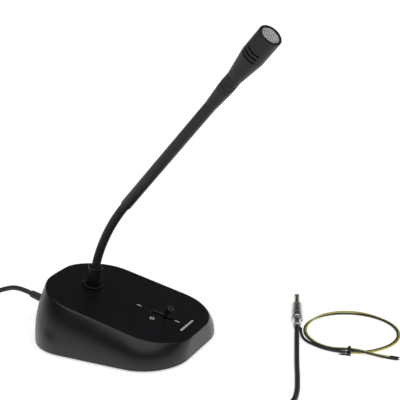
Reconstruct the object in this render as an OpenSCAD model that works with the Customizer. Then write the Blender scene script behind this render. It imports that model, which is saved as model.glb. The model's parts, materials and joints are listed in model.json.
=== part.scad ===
/* [Base] */
// Length of the base on the desk, front to back
base_len = 170; // [160:1:180]
// Width of the base on the desk
base_w = 147; // [140:1:154]
// Corner radius of the base on the desk
base_r = 48; // [44:1:52]
// Length of the sloping top, measured along its slope
plate_len = 163; // [158:1:166]
// Width of the sloping top
plate_w = 121; // [116:1:126]
// Corner radius of the sloping top
plate_r = 46; // [42:1:50]
// Slope of the top, down towards the user
slope = 12.8; // [11:0.1:14]
// Height of the middle of the top above the desk
plate_mid_h = 40; // [38:0.5:44]
// How the walls swell: 1 is straight, more is rounder
wall_curve = 2.4; // [2:0.1:2.8]
// Thickness of the housing wall
wall = 3; // [2.5:0.1:3.5]

/* [Switch] */
// Place of the switch along the top, from its middle
switch_u = -39.5; // [-42:0.5:-36]
// Lean of the lever at rest, forward of the top's normal
lever_lean = 21; // [18:1:22]
// Height of the lever above the top
lever_h = 11.5; // [10:0.5:13]

/* [Neck] */
// Place of the neck along the top, from its middle
neck_u = 44.5; // [42:0.5:47]
// Height of the neck's socket above the top
socket_h = 23; // [20:0.5:25]
// Diameter of the flexible neck
neck_d = 9.2; // [8.6:0.1:9.4]
// Length of the flexible neck between the socket and the sleeve
neck_len = 87.6; // [84:0.1:91]
// How far the neck bends over, from the socket's axis to the head's
neck_bend = 31.9; // [28:0.1:36]
// Turn of the bend about the socket's axis, to the user's left
neck_turn = -23.2; // [-28:0.1:0]

/* [Sleeve and head] */
// Length of the smooth sleeve
sleeve_len = 164; // [140:0.5:170]
// Diameter of the smooth sleeve
sleeve_d = 11.2; // [11:0.1:11.6]
// Diameter of the coupling under the head
coupling_d = 14.5; // [14:0.1:15]
// Diameter of the head
head_d = 22.3; // [21.8:0.1:23.4]

/* [Cord] */
// Diameter of the cord
cord_d = 5.2; // [5:0.1:5.4]
// Diameter of the coil at the middle of its turns
coil_d = 58; // [56:1:62]
// Diameter of the jack plug's sleeve
jack_d = 6.35; // [6.3:0.05:6.4]

/* [Hidden] */
neck_joints = 10;
link_names = [for (i = [0:neck_joints]) str("neck_link_", i < 10 ? "0" : "", i)];

black = [0.05, 0.05, 0.055];
dark_grey = [0.13, 0.13, 0.15];
mid_grey = [0.3, 0.3, 0.31];
steel = [0.7, 0.71, 0.72];
rubber = [0.08, 0.08, 0.08];
board_green = [0.1, 0.35, 0.2];

mat_t = 1.5;
floor_plate_t = 2;
edge_r = 1.6;
plate_mid_y = -5;
fit_gap = 0.2;
skin = 0.01;
post_xy = [[48, 44], [-48, 44], [44, -46], [-44, -46]];
post_d = 8;
screw_d = 2.6;
post_bore_d = 2.8;
ballast_size = [84, 58, 14];
ballast_y = 22;
ballast_z = mat_t + floor_plate_t + 0.1;

slot_len = 22;
slot_w = 5.4;
dish_len = 27;
dish_w = 8.4;
pivot_drop = 7;
switch_size = [12, 27, 12];
board_drop = wall + switch_size[2];
board_size = [50, 40, 1.6];
board_post = [20, 16];

socket_d = 13.4;
socket_foot_d = 12;
socket_rim_d = 15;
shank_d = 9.6;
shank_len = 12;
link_gap = 1.4;
link_ribs = 3;
rib_depth = 0.45;
foot_depth = 17;

taper_len = 22;
coupling_len = 17.3;
cone_len = 27;
head_len = 29.8;
head_wall = 1.6;
slot_pitch = 4.2;
sound_slot_w = 1.1;
slot_middle = 16.6;
slot_half = 42;
slot_lift = 2.8;
tube_end_s = sleeve_len;
taper_end_s = tube_end_s + taper_len;
coupling_end_s = taper_end_s + coupling_len;
cone_end_s = coupling_end_s + cone_len;
head_end_s = cone_end_s + head_len;

exit_y = 83;
exit_z = 19;
exit_tilt = 15.5;
relief_len = 33;

// Height of the sloping top over a place on the desk
function plate_z(y) = plate_mid_h + (y - plate_mid_y) * tan(slope);

// Outline of a rectangle with round corners
function round_rect(w, l, r, n = 10) = [
    for (q = [0:3]) for (i = [0:n])
        let (a = 90 * q + 90 * i / n)
        let (sx = (q == 0 || q == 3) ? 1 : -1)
        let (sy = q < 2 ? 1 : -1)
        [sx * (w / 2 - r) + r * cos(a), sy * (l / 2 - r) + r * sin(a)]
];

// How far the wall has come in at share t of its height
function flare(t) = pow(t, wall_curve);
function between(a, b, t) = a + (b - a) * t;

// Place on the sloping top: u along it, h above it
module on_top(u, h = 0) {
    translate([0, plate_mid_y, plate_mid_h])
        rotate([slope, 0, 0])
            translate([0, u, h])
                children();
}

// One thin slice of the housing at share t of its height
module wall_slice(t, inset) {
    tilt = atan(t * tan(slope));
    yc = plate_mid_y * flare(t);
    plan = between(base_len, plate_len * cos(slope), flare(t)) - 2 * inset;
    w = between(base_w, plate_w, flare(t)) - 2 * inset;
    translate([0, yc, between(mat_t, plate_z(yc), t)])
        rotate([tilt, 0, 0])
            linear_extrude(skin)
                polygon(round_rect(w, plan / cos(tilt), between(base_r, plate_r, flare(t)) - inset));
}

module top_slice(inset, drop) {
    on_top(0, -drop - skin)
        linear_extrude(skin)
            polygon(round_rect(plate_w - 2 * inset, plate_len - 2 * inset, plate_r - inset));
}

// The housing's outer form: swelling walls and a small round along the top's edge
module wedge(inset) {
    hull() {
        for (t = [0, 0.2, 0.4, 0.55, 0.7, 0.8, 0.88])
            wall_slice(t, inset);
        for (a = [0:30:90])
            top_slice(inset + edge_r * (1 - cos(a)), edge_r * (1 - sin(a)));
    }
}

module cavity() {
    intersection() {
        union() {
            wedge(wall);
            translate([0, 0, -1])
                linear_extrude(mat_t + 1.1)
                    polygon(round_rect(base_w - 2 * wall, base_len - 2 * wall, base_r - wall));
        }
        on_top(0, -100 - wall)
            translate([-100, -120, 0])
                cube([200, 240, 100]);
    }
}

// A slot with round ends, along the top's length
module round_slot(len, w, depth) {
    for (s = [-1, 1])
        translate([0, s * (len - w) / 2, 0])
            cylinder(d = w, h = depth, $fn = 32);
    translate([-w / 2, -(len - w) / 2, 0])
        cube([w, len - w, depth]);
}

// A point on the cord's way out through the back wall
function exit_at(s) = [0, exit_y + s * cos(exit_tilt), exit_z + s * sin(exit_tilt)];

module along_exit(s) {
    translate([0, exit_y, exit_z])
        rotate([exit_tilt - 90, 0, 0])
            translate([0, 0, s])
                children();
}

module base_shell() {
    color(dark_grey)
    difference() {
        union() {
            difference() {
                wedge(0);
                cavity();
            }
            intersection() {
                wedge(1);
                union() {
                    for (p = post_xy)
                        translate([p[0], p[1], mat_t + floor_plate_t + fit_gap])
                            cylinder(d = post_d, h = 80, $fn = 32);
                    for (sx = [-1, 1], sy = [-1, 1])
                        on_top(switch_u + sy * board_post[1], -board_drop + fit_gap)
                            translate([sx * board_post[0], 0, 0])
                                cylinder(d = 5, h = board_drop, $fn = 32);
                }
            }
        }
        for (p = post_xy)
            translate([p[0], p[1], 0])
                cylinder(d = post_bore_d, h = 16, $fn = 32);
        for (sx = [-1, 1], sy = [-1, 1])
            on_top(switch_u + sy * board_post[1], -board_drop - 1)
                translate([sx * board_post[0], 0, 0])
                    cylinder(d = 1.8, h = 9, $fn = 32);
        on_top(neck_u, -wall - 1)
            cylinder(d = shank_d + 0.4, h = wall + 3, $fn = 48);
        on_top(switch_u, -wall - 1)
            round_slot(slot_len, slot_w, wall + 3);
        on_top(switch_u, -1.1)
            round_slot(dish_len, dish_w, 3);
        along_exit(-12)
            cylinder(d = 9.4, h = 20, $fn = 48);
    }
}

module bottom_plate() {
    color(steel)
    difference() {
        translate([0, 0, mat_t])
            linear_extrude(floor_plate_t)
                polygon(round_rect(base_w - 2 * wall - 2 * fit_gap, base_len - 2 * wall - 2 * fit_gap,
                    base_r - wall - fit_gap));
        for (p = post_xy)
            translate([p[0], p[1], 0]) {
                cylinder(d = 3.2, h = 10, $fn = 32);
                translate([0, 0, mat_t - 0.01])
                    cylinder(d1 = 6.2, d2 = 3.2, h = 1.5, $fn = 48);
            }
        for (s = [-1, 1])
            translate([s * 30, ballast_y, 0])
                cylinder(d = 3.4, h = 10, $fn = 32);
        for (s = [-1, 1])
            translate([s * 9, 66, 0])
                cylinder(d = 2.4, h = 10, $fn = 32);
    }
}

module base_mat() {
    color(rubber)
    difference() {
        linear_extrude(mat_t)
            polygon(round_rect(base_w - 6, base_len - 6, base_r - 3));
        for (p = post_xy)
            translate([p[0], p[1], -1])
                cylinder(d = 9, h = 5, $fn = 48);
    }
}

module bottom_screws() {
    color(steel)
    for (p = post_xy)
        translate([p[0], p[1], mat_t])
            difference() {
                union() {
                    cylinder(d1 = 5.8, d2 = screw_d, h = 1.5, $fn = 48);
                    translate([0, 0, 1.5])
                        cylinder(d = screw_d, h = 11, $fn = 32);
                }
                for (a = [0, 90])
                    rotate([0, 0, a])
                        translate([-1.5, -0.3, -1])
                            cube([3, 0.6, 1.7]);
            }
}

module ballast() {
    color(mid_grey)
    translate([0, ballast_y, ballast_z])
        difference() {
            linear_extrude(ballast_size[2])
                polygon(round_rect(ballast_size[0], ballast_size[1], 6));
            for (s = [-1, 1])
                translate([s * 30, 0, -1])
                    cylinder(d = 4.4, h = 30, $fn = 32);
        }
}

module ballast_screws() {
    color(steel)
    for (s = [-1, 1])
        translate([s * 30, ballast_y, ballast_z])
            difference() {
                union() {
                    translate([0, 0, -1.9])
                        cylinder(d = 3.1, h = ballast_size[2] + 2, $fn = 32);
                    translate([0, 0, ballast_size[2] + 0.05])
                        cylinder(d = 7.4, h = 2.6, $fn = 48);
                }
                translate([-3, -0.5, ballast_size[2] + 1.6])
                    cube([6, 1, 3]);
            }
}

module switch_board() {
    color(board_green)
    on_top(switch_u, -board_drop - board_size[2])
        difference() {
            translate([-board_size[0] / 2, -board_size[1] / 2, 0])
                cube(board_size);
            for (sx = [-1, 1], sy = [-1, 1])
                translate([sx * board_post[0], sy * board_post[1], -1])
                    cylinder(d = 2.2, h = 5, $fn = 32);
        }
}

module board_screws() {
    color(steel)
    for (sx = [-1, 1], sy = [-1, 1])
        on_top(switch_u + sy * board_post[1], -board_drop - board_size[2])
            translate([sx * board_post[0], 0, 0])
                union() {
                    translate([0, 0, -1.6])
                        cylinder(d = 3.6, h = 1.6, $fn = 48);
                    cylinder(d = 1.6, h = 8, $fn = 32);
                }
}

module switch_body() {
    color(black)
    on_top(switch_u, -board_drop)
        difference() {
            translate([-switch_size[0] / 2, -switch_size[1] / 2, 0])
                cube(switch_size);
            translate([-2.2, -10.5, 2])
                cube([4.4, 21, 12]);
            translate([-10, 0, board_drop - pivot_drop])
                rotate([0, 90, 0])
                    cylinder(d = 2, h = 20, $fn = 32);
        }
}

module lever_pin() {
    color(steel)
    on_top(switch_u, -pivot_drop)
        rotate([0, 90, 0])
            cylinder(d = 1.96, h = switch_size[0], center = true, $fn = 32);
}

// Blade, pivot boss and the flared paddle that the finger pushes
module switch_lever() {
    paddle_z = pivot_drop + 1.5;
    color(black)
    on_top(switch_u, -pivot_drop)
        rotate([lever_lean, 0, 0])
            difference() {
                union() {
                    rotate([0, 90, 0])
                        cylinder(d = 6, h = 3.8, center = true, $fn = 48);
                    translate([-1.9, -1.6, 0])
                        cube([3.8, 3.2, paddle_z + 1]);
                    hull() {
                        translate([0, 0, paddle_z])
                            linear_extrude(skin)
                                polygon(round_rect(3.8, 3.4, 0.8, 4));
                        translate([0, 0, pivot_drop + lever_h - 2.6])
                            linear_extrude(1)
                                polygon(round_rect(6.8, 6.8, 1.6, 5));
                        translate([0, 0, pivot_drop + lever_h - 0.3])
                            linear_extrude(0.3)
                                polygon(round_rect(5.4, 5.4, 1.4, 5));
                    }
                }
                rotate([0, 90, 0])
                    cylinder(d = 2.1, h = 10, center = true, $fn = 32);
            }
}

// Printed marks: a bar at each ON place, a ring at OFF and a plain stripe near the front
module switch_marks() {
    mark_t = 0.12;
    color("white")
    union() {
        for (u = [-12, -56.5])
            on_top(u)
                translate([-0.7, -2.6, 0])
                    cube([1.4, 5.2, mark_t]);
        on_top(-34.5)
            translate([-13.7, 0, 0])
                difference() {
                    cylinder(d = 5, h = mark_t, $fn = 48);
                    translate([0, 0, -1])
                        cylinder(d = 3, h = 3, $fn = 48);
                }
        on_top(-67.5)
            translate([-14, -1.2, 0])
                cube([28, 2.4, mark_t]);
    }
}

// A saddle that holds the cord on the floor plate, just inside its exit
module cord_clamp() {
    color(black)
    translate([0, 66, mat_t + floor_plate_t + 0.05])
        difference() {
            translate([-13, -4, 0])
                cube([26, 8, 13]);
            translate([0, -10, 10.6])
                rotate([-90, 0, 0])
                    cylinder(d = cord_d + 0.2, h = 20, $fn = 48);
            for (s = [-1, 1]) {
                translate([s * 9, 0, -1])
                    cylinder(d = 2.6, h = 20, $fn = 32);
                translate([s * 9, 0, 8])
                    cylinder(d = 5.4, h = 8, $fn = 48);
            }
        }
}

module clamp_screws() {
    color(steel)
    for (s = [-1, 1])
        translate([s * 9, 66, mat_t + floor_plate_t + 0.05])
            union() {
                translate([0, 0, -1.9])
                    cylinder(d = 2.2, h = 10, $fn = 32);
                translate([0, 0, 8.05])
                    cylinder(d = 4.8, h = 2, $fn = 48);
            }
}

// ---- tubes along a route ----

function unit(v) = v / norm(v);

// Smooth curve through four points, at share t between the middle two
function curve(a, b, c, d, t) = 0.5 * (
    2 * b + (c - a) * t + (2 * a - 5 * b + 4 * c - d) * t * t + (3 * b - a - 3 * c + d) * t * t * t
);

// The route with each stretch cut into n
function smooth(p, n) = let (last = len(p) - 1) [
    for (i = [0:last - 1]) for (k = [0:n - 1])
        curve(
            i == 0 ? 2 * p[0] - p[1] : p[i - 1],
            p[i],
            p[i + 1],
            i + 1 == last ? 2 * p[last] - p[last - 1] : p[i + 2],
            k / n
        ),
    p[last]
];

function heading(p, i) = unit(p[min(i + 1, len(p) - 1)] - p[max(i - 1, 0)]);
function side_of(h) = unit(cross(h, [0, 0, 1]));

// One closed solid: rings of points around the route, capped at both ends
module tube(route, d, sides = 8) {
    rings = len(route);
    points = [
        for (i = [0:rings - 1])
            let (h = heading(route, i), s = side_of(h), u = cross(s, h))
            for (k = [0:sides - 1])
                route[i] + d / 2 * (cos(360 * (k + 0.5) / sides) * s + sin(360 * (k + 0.5) / sides) * u)
    ];
    faces = concat(
        [[for (k = [0:sides - 1]) k]],
        [for (i = [0:rings - 2]) for (k = [0:sides - 1])
            let (n = (k + 1) % sides)
            [i * sides + k, (i + 1) * sides + k, (i + 1) * sides + n, i * sides + n]],
        [[for (k = [sides - 1:-1:0]) (rings - 1) * sides + k]]
    );
    polyhedron(points, faces, convexity = 8);
}

module inner_leads() {
    from_cord = [exit_at(-9.1), [0, 66, 14.2], [0, 59, 16.5], [3, 51, 20.8], [8, 36, 22.5],
        [10, 18, 22], [10, 2, 21.5], [8, -12, 20], [6, -18, 18.5]];
    from_neck = [[0, 41.5, 35.5], [0, 42.5, 31], [-4, 38, 26.5], [-9, 26, 24], [-12, 8, 22.5],
        [-10, -10, 20], [-8, -18, 18.5]];
    color(mid_grey)
    union() {
        tube(smooth(from_cord, 2), 4);
        tube(smooth(from_neck, 2), 3);
    }
}

// ---- neck ----

module neck_flange() {
    color(black)
    on_top(neck_u)
        rotate_extrude($fn = 64)
            polygon([[shank_d / 2 + 0.2, 0], [10.4, 0], [10.7, 0.4], [10.7, 2.2], [10.3, 2.8], [9.6, 2.8],
                [9.1, 2.2], [8.7, 1.3], [shank_d / 2 + 0.2, 1.3]]);
}

// Threaded socket that holds the neck's foot and passes through the top
module neck_socket() {
    color(black)
    on_top(neck_u)
        rotate_extrude($fn = 64)
            polygon([[2.6, -shank_len], [shank_d / 2 - 0.5, -shank_len], [shank_d / 2, -shank_len + 0.6],
                [shank_d / 2, 1.35], [socket_foot_d / 2, 1.35], [socket_foot_d / 2 + 0.2, 3],
                [socket_d / 2, socket_h - 6], [socket_d / 2, socket_h - 3.6],
                [socket_rim_d / 2 - 0.2, socket_h - 3.2], [socket_rim_d / 2, socket_h - 2.8],
                [socket_rim_d / 2, socket_h - 0.6], [socket_rim_d / 2 - 0.6, socket_h],
                [neck_d / 2 + 0.1, socket_h], [neck_d / 2 + 0.1, 5], [2.6, 5]]);
}

module neck_nut() {
    color(steel)
    on_top(neck_u)
        difference() {
            union() {
                translate([0, 0, -wall - 5.2])
                    cylinder(d = 16, h = 4.2, $fn = 6);
                translate([0, 0, -wall - 1])
                    cylinder(d = 19, h = 0.95, $fn = 48);
            }
            translate([0, 0, -20])
                cylinder(d = shank_d + 0.1, h = 40, $fn = 48);
        }
}

// The neck bends in one plane, which is turned about the socket's axis; heights start at its rim
module in_neck_plane() {
    on_top(neck_u, socket_h)
        rotate([0, 0, neck_turn])
            children();
}

// Lean of the neck at share t of its length, quick near the socket and slower above
function lean_at(t) = neck_bend * pow(t, 0.72);
function along(a) = [0, -sin(a), cos(a)];
pitch_len = neck_len / neck_joints;

// Joint i of the neck: the end of i straight lengths, each with its own lean
function joint_at(i) = i == 0
    ? pitch_len / 2 * along(0)
    : joint_at(i - 1) + pitch_len * along(lean_at(i / neck_joints));
sleeve_start = joint_at(neck_joints - 1) + pitch_len / 2 * along(neck_bend);

// A length of wound neck: round ribs with a fine groove between them, from z = a to z = b
module wound(a, b, ribs) {
    step = (b - a) / ribs;
    rotate_extrude($fn = 48)
        polygon(concat(
            [[1.9, a]],
            [for (i = [0:ribs - 1]) for (k = [[0, 1], [0.18, 0.25], [0.35, 0], [0.65, 0], [0.82, 0.25]])
                [neck_d / 2 - rib_depth * k[1], a + step * (i + k[0])]],
            [[neck_d / 2 - rib_depth, b], [1.9, b]]
        ));
}

// Link i lies between joint i - 1 and joint i; the first sits in the socket and the last in the sleeve
module neck_link(i) {
    color(black)
    in_neck_plane()
        if (i == 0) {
            translate(joint_at(0))
                union() {
                    wound(-pitch_len / 2 - foot_depth, -pitch_len / 2 - 1, 6);
                    wound(-pitch_len / 2 - 1, -link_gap / 2, 2);
                }
        } else {
            top = i == neck_joints ? pitch_len / 2 + foot_depth + 1 : pitch_len - link_gap / 2;
            translate(joint_at(i - 1))
                rotate([lean_at(i / neck_joints), 0, 0])
                    wound(link_gap / 2, top, i == neck_joints ? 8 : link_ribs);
        }
}

// ---- sleeve and head ----

module on_sleeve(s = 0) {
    in_neck_plane()
        translate(sleeve_start)
            rotate([neck_bend, 0, 0])
                translate([0, 0, s])
                    children();
}

module sleeve_tube() {
    color(dark_grey)
    on_sleeve()
        rotate_extrude($fn = 64)
            polygon([[neck_d / 2 + 0.15, 0], [sleeve_d / 2 - 0.6, 0], [sleeve_d / 2, 0.6],
                [sleeve_d / 2, tube_end_s], [neck_d / 2 + 0.15, tube_end_s]]);
}

module taper_joint() {
    color(dark_grey)
    on_sleeve(tube_end_s)
        rotate_extrude($fn = 64)
            polygon([[2.5, -10], [neck_d / 2, -10], [neck_d / 2 + 0.1, -9.5], [neck_d / 2 + 0.1, 0.05],
                [sleeve_d / 2 + 0.1, 0.05], [sleeve_d / 2 + 0.2, 0.5], [coupling_d / 2 - 0.1, taper_len - 1],
                [coupling_d / 2 - 0.1, taper_len], [2.5, taper_len]]);
}

module head_coupling() {
    color(black)
    on_sleeve(taper_end_s)
        rotate_extrude($fn = 64)
            polygon([[4, 0.05], [coupling_d / 2 - 0.4, 0.05], [coupling_d / 2, 0.5], [coupling_d / 2, 5],
                [coupling_d / 2 - 0.4, 5.4], [coupling_d / 2 - 0.4, 10.6], [coupling_d / 2, 11],
                [coupling_d / 2, coupling_len - 0.4], [coupling_d / 2 - 0.3, coupling_len],
                [4, coupling_len]]);
}

// Ribbed band around the middle of the coupling
module coupling_band() {
    color(dark_grey)
    on_sleeve(taper_end_s + 5.5)
        rotate_extrude($fn = 64)
            polygon(concat(
                [[coupling_d / 2 - 0.35, 0]],
                [for (i = [0:4]) for (k = [[0.1, 0.1], [0.5, 0.45], [0.9, 0.1]])
                    [coupling_d / 2 + k[1] - 0.3, i + k[0]]],
                [[coupling_d / 2 - 0.35, 5]]
            ));
}

// Cut for one sound slot: a short arc around the head's axis, at height z
module sound_slot(z, middle, half) {
    translate([0, 0, z - sound_slot_w / 2])
        rotate([0, 0, middle - half])
            rotate_extrude(angle = 2 * half, $fn = 96)
                translate([head_d / 2 - 3, 0])
                    square([5, sound_slot_w]);
}

// Cone and barrel in one shell, with three sound slots on either side
module head_shell() {
    r = head_d / 2;
    rim = 1.2;
    color(dark_grey)
    on_sleeve(coupling_end_s)
        difference() {
            rotate_extrude($fn = 96)
                polygon([[4, 0.05], [coupling_d / 2, 0.05], [coupling_d / 2 + 0.15, 0.4],
                    [r - 0.35, cone_len - 1], [r - 0.1, cone_len + 0.2], [r, cone_len + 1.4],
                    [r, cone_len + head_len - rim], [r - 0.35, cone_len + head_len - 0.35],
                    [r - rim, cone_len + head_len], [r - rim - 0.6, cone_len + head_len - 0.1],
                    [r - rim - 0.6, cone_len + 3], [r - head_wall - 0.4, cone_len],
                    [coupling_d / 2 - 1.2, 3], [4, 3]]);
            for (middle = [slot_middle, slot_middle + 180], k = [0, 1, 2])
                sound_slot(cone_len + slot_lift + k * slot_pitch, middle, slot_half);
        }
}

module capsule_seat() {
    color(rubber)
    on_sleeve(cone_end_s + 12)
        rotate_extrude($fn = 64)
            polygon([[5.1, 0], [head_d / 2 - 2, 0], [head_d / 2 - 2, 8], [5.1, 8]]);
}

module capsule() {
    color("silver")
    on_sleeve(cone_end_s + 13)
        union() {
            cylinder(r = 4.95, h = 6.7, $fn = 64);
            translate([-1.6, -1.6, -2])
                cube([3.2, 3.2, 2.1]);
        }
}

module foam_disc() {
    color(rubber)
    on_sleeve(head_end_s - 7.5)
        cylinder(r = head_d / 2 - 2.05, h = 4.4, $fn = 64);
}

module grille_mesh() {
    color("silver")
    on_sleeve(head_end_s - 3)
        cylinder(r = head_d / 2 - 2.2, h = 1.7, $fn = 96);
}

module grille_ring() {
    color(black)
    on_sleeve(head_end_s - 1.25)
        rotate_extrude($fn = 96)
            polygon([[head_d / 2 - 2.5, 0], [head_d / 2 - 1.85, 0], [head_d / 2 - 1.85, 0.9],
                [head_d / 2 - 2.1, 1], [head_d / 2 - 2.5, 0.6]]);
}

// ---- cord ----

// Smooth, tapered sleeve that guards the cord where it leaves the housing
module strain_relief() {
    color(rubber)
    along_exit(0)
        rotate_extrude($fn = 48)
            polygon([[cord_d / 2 + 0.05, -7], [6.2, -7], [6.2, -5], [4.6, -5], [4.6, 2], [4.4, 6],
                [4.1, 14], [3.8, 22], [3.5, relief_len - 2], [3.3, relief_len - 0.5],
                [2.9, relief_len], [cord_d / 2 + 0.05, relief_len]]);
}

cord_r = cord_d / 2;
coil_at = [-130, 125];
coil_outer_r = coil_d / 2 + cord_d;
coil_inner_r = coil_d / 2 - cord_d;
// Height of the cord's middle where it lies on the desk
lay = cord_r + 0.04;

near_route = [exit_at(-9), exit_at(12), exit_at(relief_len), [0, 123, 29.8], [0, 131, 30.8], [0, 139, 30.2],
    [-2, 148, 27.8], [-6, 158, 24], [-13, 168, 18.5], [-23, 176, 13], [-36, 181, 8], [-51, 181.5, 4.4],
    [-67, 178, 2.9], [-83, 172, lay], [-98, 165.5, lay], [-113, 161, lay],
    [coil_at[0], coil_at[1] + coil_outer_r, lay]];

far_route = [[coil_at[0] - coil_outer_r, coil_at[1], 3 * cord_r], [-165, 112, 6.8], [-168, 96, 4.8],
    [-174, 78, 3.3], [-181, 60, 2.7], [-188, 42, lay], [-192, 24, lay], [-191, 5, lay], [-184, -14, lay],
    [-174, -34, lay], [-158, -68, lay], [-142, -102, lay], [-126, -136, lay], [-110, -170, lay],
    [-99, -190, lay], [-86, -204, lay], [-68, -210, lay], [-48, -207, lay], [-22, -198, lay],
    [5, -187.5, lay], [30, -178, 2.8], [52, -169.8, 3.6], [66, -164.6, 4.9], [76, -160.9, 5.9],
    [84, -158, 6.25]];

module cord_near() {
    color(rubber)
        tube(smooth(near_route, 2), cord_d, 10);
}

module cord_coil() {
    color(rubber)
    translate([coil_at[0], coil_at[1], 0])
        rotate_extrude($fn = 64)
            polygon([[coil_inner_r - cord_r, 1], [coil_inner_r - cord_r + 1, 0],
                [coil_outer_r + cord_r - 1, 0], [coil_outer_r + cord_r, 1],
                [coil_outer_r + cord_r, 2 * cord_d - 1], [coil_outer_r + cord_r - 1, 2 * cord_d],
                [coil_inner_r - cord_r + 1, 2 * cord_d], [coil_inner_r - cord_r, 2 * cord_d - 1]]);
}

// Strap around the coil's turns, on the side away from the base
module coil_tie() {
    t = 0.8;
    w = 3 * cord_d + 1.2;
    color(rubber)
    translate([coil_at[0], coil_at[1], 0])
        rotate([0, 0, -55])
            translate([coil_d / 2, 0, cord_d])
                rotate([90, 0, 0])
                    difference() {
                        translate([0, 0, -5])
                            linear_extrude(10)
                                polygon(round_rect(w + 2 * t + 0.2, 2 * cord_d + 2 * t + 0.2, 2, 5));
                        translate([0, 0, -7])
                            linear_extrude(14)
                                polygon(round_rect(w + 0.2, 2 * cord_d + 0.2, 1.2, 5));
                        translate([-20, -cord_d - 5, -8])
                            cube([40, 5, 16]);
                    }
}

module cord_far() {
    color(rubber)
        tube(smooth(far_route, 2), cord_d, 10);
}

// ---- jack plug, lying on the desk ----

plug_at = [84, -158, 6.25];
plug_turn = 20.4;
tail_len = 19.4;
barrel_len = 38;
barrel_d = 12.5;
shaft_sleeve_len = 23.4;
insulator_len = 1.2;
barrel_end = tail_len + barrel_len;
ring_z = barrel_end + shaft_sleeve_len;

module on_plug(z) {
    translate(plug_at)
        rotate([0, 90, plug_turn])
            translate([0, 0, z])
                children();
}

module plug_tail() {
    color("silver")
    on_plug(0)
        rotate_extrude($fn = 48)
            polygon([[cord_r + 0.05, 0.1], [4.1, 0.1], [4.35, 0.4], [4.35, tail_len],
                [cord_r + 0.05, tail_len]]);
}

module plug_barrel() {
    r = barrel_d / 2;
    color("silver")
    on_plug(tail_len)
        rotate_extrude($fn = 64)
            polygon([[1.5, 0.05], [r - 0.8, 0.05], [r, 0.8], [r, 9.6], [r - 0.25, 9.8], [r, 10], [r, 12.2],
                [r - 0.25, 12.4], [r, 12.6], [r, barrel_len - 0.8], [r - 0.8, barrel_len],
                [1.5, barrel_len]]);
}

module plug_sleeve() {
    color([0.75, 0.68, 0.58])
    on_plug(barrel_end)
        difference() {
            cylinder(d = jack_d, h = shaft_sleeve_len, $fn = 64);
            translate([0, 0, -1])
                cylinder(d = 2, h = 30, $fn = 32);
        }
}

module plug_insulator() {
    color(black)
    on_plug(ring_z)
        difference() {
            cylinder(d = jack_d, h = insulator_len, $fn = 64);
            translate([0, 0, -1])
                cylinder(d = 2, h = 5, $fn = 32);
        }
}

module plug_tip() {
    color("silver")
    on_plug(ring_z + insulator_len)
        rotate_extrude($fn = 64)
            polygon([[0, 0], [2.9, 0], [2.9, 0.8], [2.2, 1.6], [2.2, 2.3], [3.05, 3.6], [2.9, 4.3],
                [0.7, 6.6], [0.7, 6.8], [0, 6.8]]);
}

// ---- control pair: a loop of two wires beside the plug ----

loop_at = [108, -210, 0];
loop_turn = -64.8;
loop_r = 48.5;
lead_d = 3;
wire_d = 2;
pair_gap = 1.05;
shrink_len = 9;
bare_len = 10;
// Where the pair lies: u to the right of the plug, v towards the plug's tip, z up
lead_route = [[-53.2, -0.2, 5.2], [-53.6, -5, 4.6], [-53.4, -11, 3.2], [-51.6, -19, 1.9], [-47.5, -27, 1.6],
    [-41.5, -34.2, 1.6], [-34.5, -41, 1.6], [-25.5, -46.6, 1.6], [-17, -50, 1.7], [-12.6, -51, 1.8]];
start_route = [[-12.4, -51, 1.6], [-5, -51.3, 1.6], [3, -50.4, 1.1], [11, -48.4, 1.05], [19, -45.1, 1.05]];
tail_route = [[-31.5, -36.9, 1.2], [-24, -42.2, 1.8], [-16.6, -45.6, 2.9], [-9, -48.4, 3.8], [0, -51.7, 3.8],
    [9, -55, 2.8], [18, -58.3, 1.7], [26, -61.2, 1.1], [31, -63, 1.05]];

module on_desk() {
    translate(loop_at)
        rotate([0, 0, loop_turn])
            children();
}

// Middle of the pair: from the lead once around, then over its own start and out
function on_loop(a) = [loop_r * cos(a), loop_r * sin(a), 1.05];
pair_route = concat(start_route, [for (a = [-55:12.5:210]) on_loop(a)], [[-38, -30.4, 1.05]], tail_route);

// Places of one wire: it lies beside the other; they swap sides once on the way, then part at the end
function swap(t) = 180 * min(1, max(0, (t - 0.35) / 0.3));
function parting(t) = 0.5 * pow(max(0, (t - 0.85) / 0.15), 2);
function wire_place(p, i, side) =
    let (h = heading(p, i), s = side_of(h), t = i / (len(p) - 1), turn = swap(t))
    p[i] + (pair_gap + parting(t)) * side * cos(turn) * s
        + [0, 0, pair_gap * (abs(sin(turn)) + side * sin(turn))];
function wire_route(side) = [for (i = [0:len(pair_route) - 1]) wire_place(pair_route, i, side)];

module pair_lead() {
    color(rubber)
        on_desk()
            tube(smooth(lead_route, 2), lead_d);
}

module wire_black() {
    color(black)
        on_desk()
            tube(smooth(wire_route(-1), 2), wire_d);
}

module wire_yellow() {
    color([0.72, 0.72, 0.25])
        on_desk()
            tube(smooth(wire_route(1), 2), wire_d);
}

// Wire tie around the crossing, with its lock beside it and a short pointed tail
module wire_tie() {
    color(black)
    on_desk()
        translate([-9, -49.6, 0])
            rotate([0, 0, -12])
                union() {
                    difference() {
                        translate([-1.6, -4.5, 0])
                            cube([3.2, 9, 5.7]);
                        translate([-3, -3.9, 0.5])
                            cube([6, 7.8, 4.6]);
                    }
                    translate([-2.2, -7.4, 0])
                        cube([4.4, 2.9, 3.6]);
                    translate([-2.1, -7.2, 0.4])
                        linear_extrude(0.8)
                            polygon([[0, 0], [0, 2.6], [-6, 2.6], [-8, 1.3], [-6, 0]]);
                }
}

module end_at(side) {
    last = len(pair_route) - 1;
    w = wire_route(side);
    h = heading(pair_route, last);
    translate([w[last][0], w[last][1], wire_d / 2 + 0.3])
        rotate([0, 90, atan2(h[1], h[0]) + side * 7])
            children();
}

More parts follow.
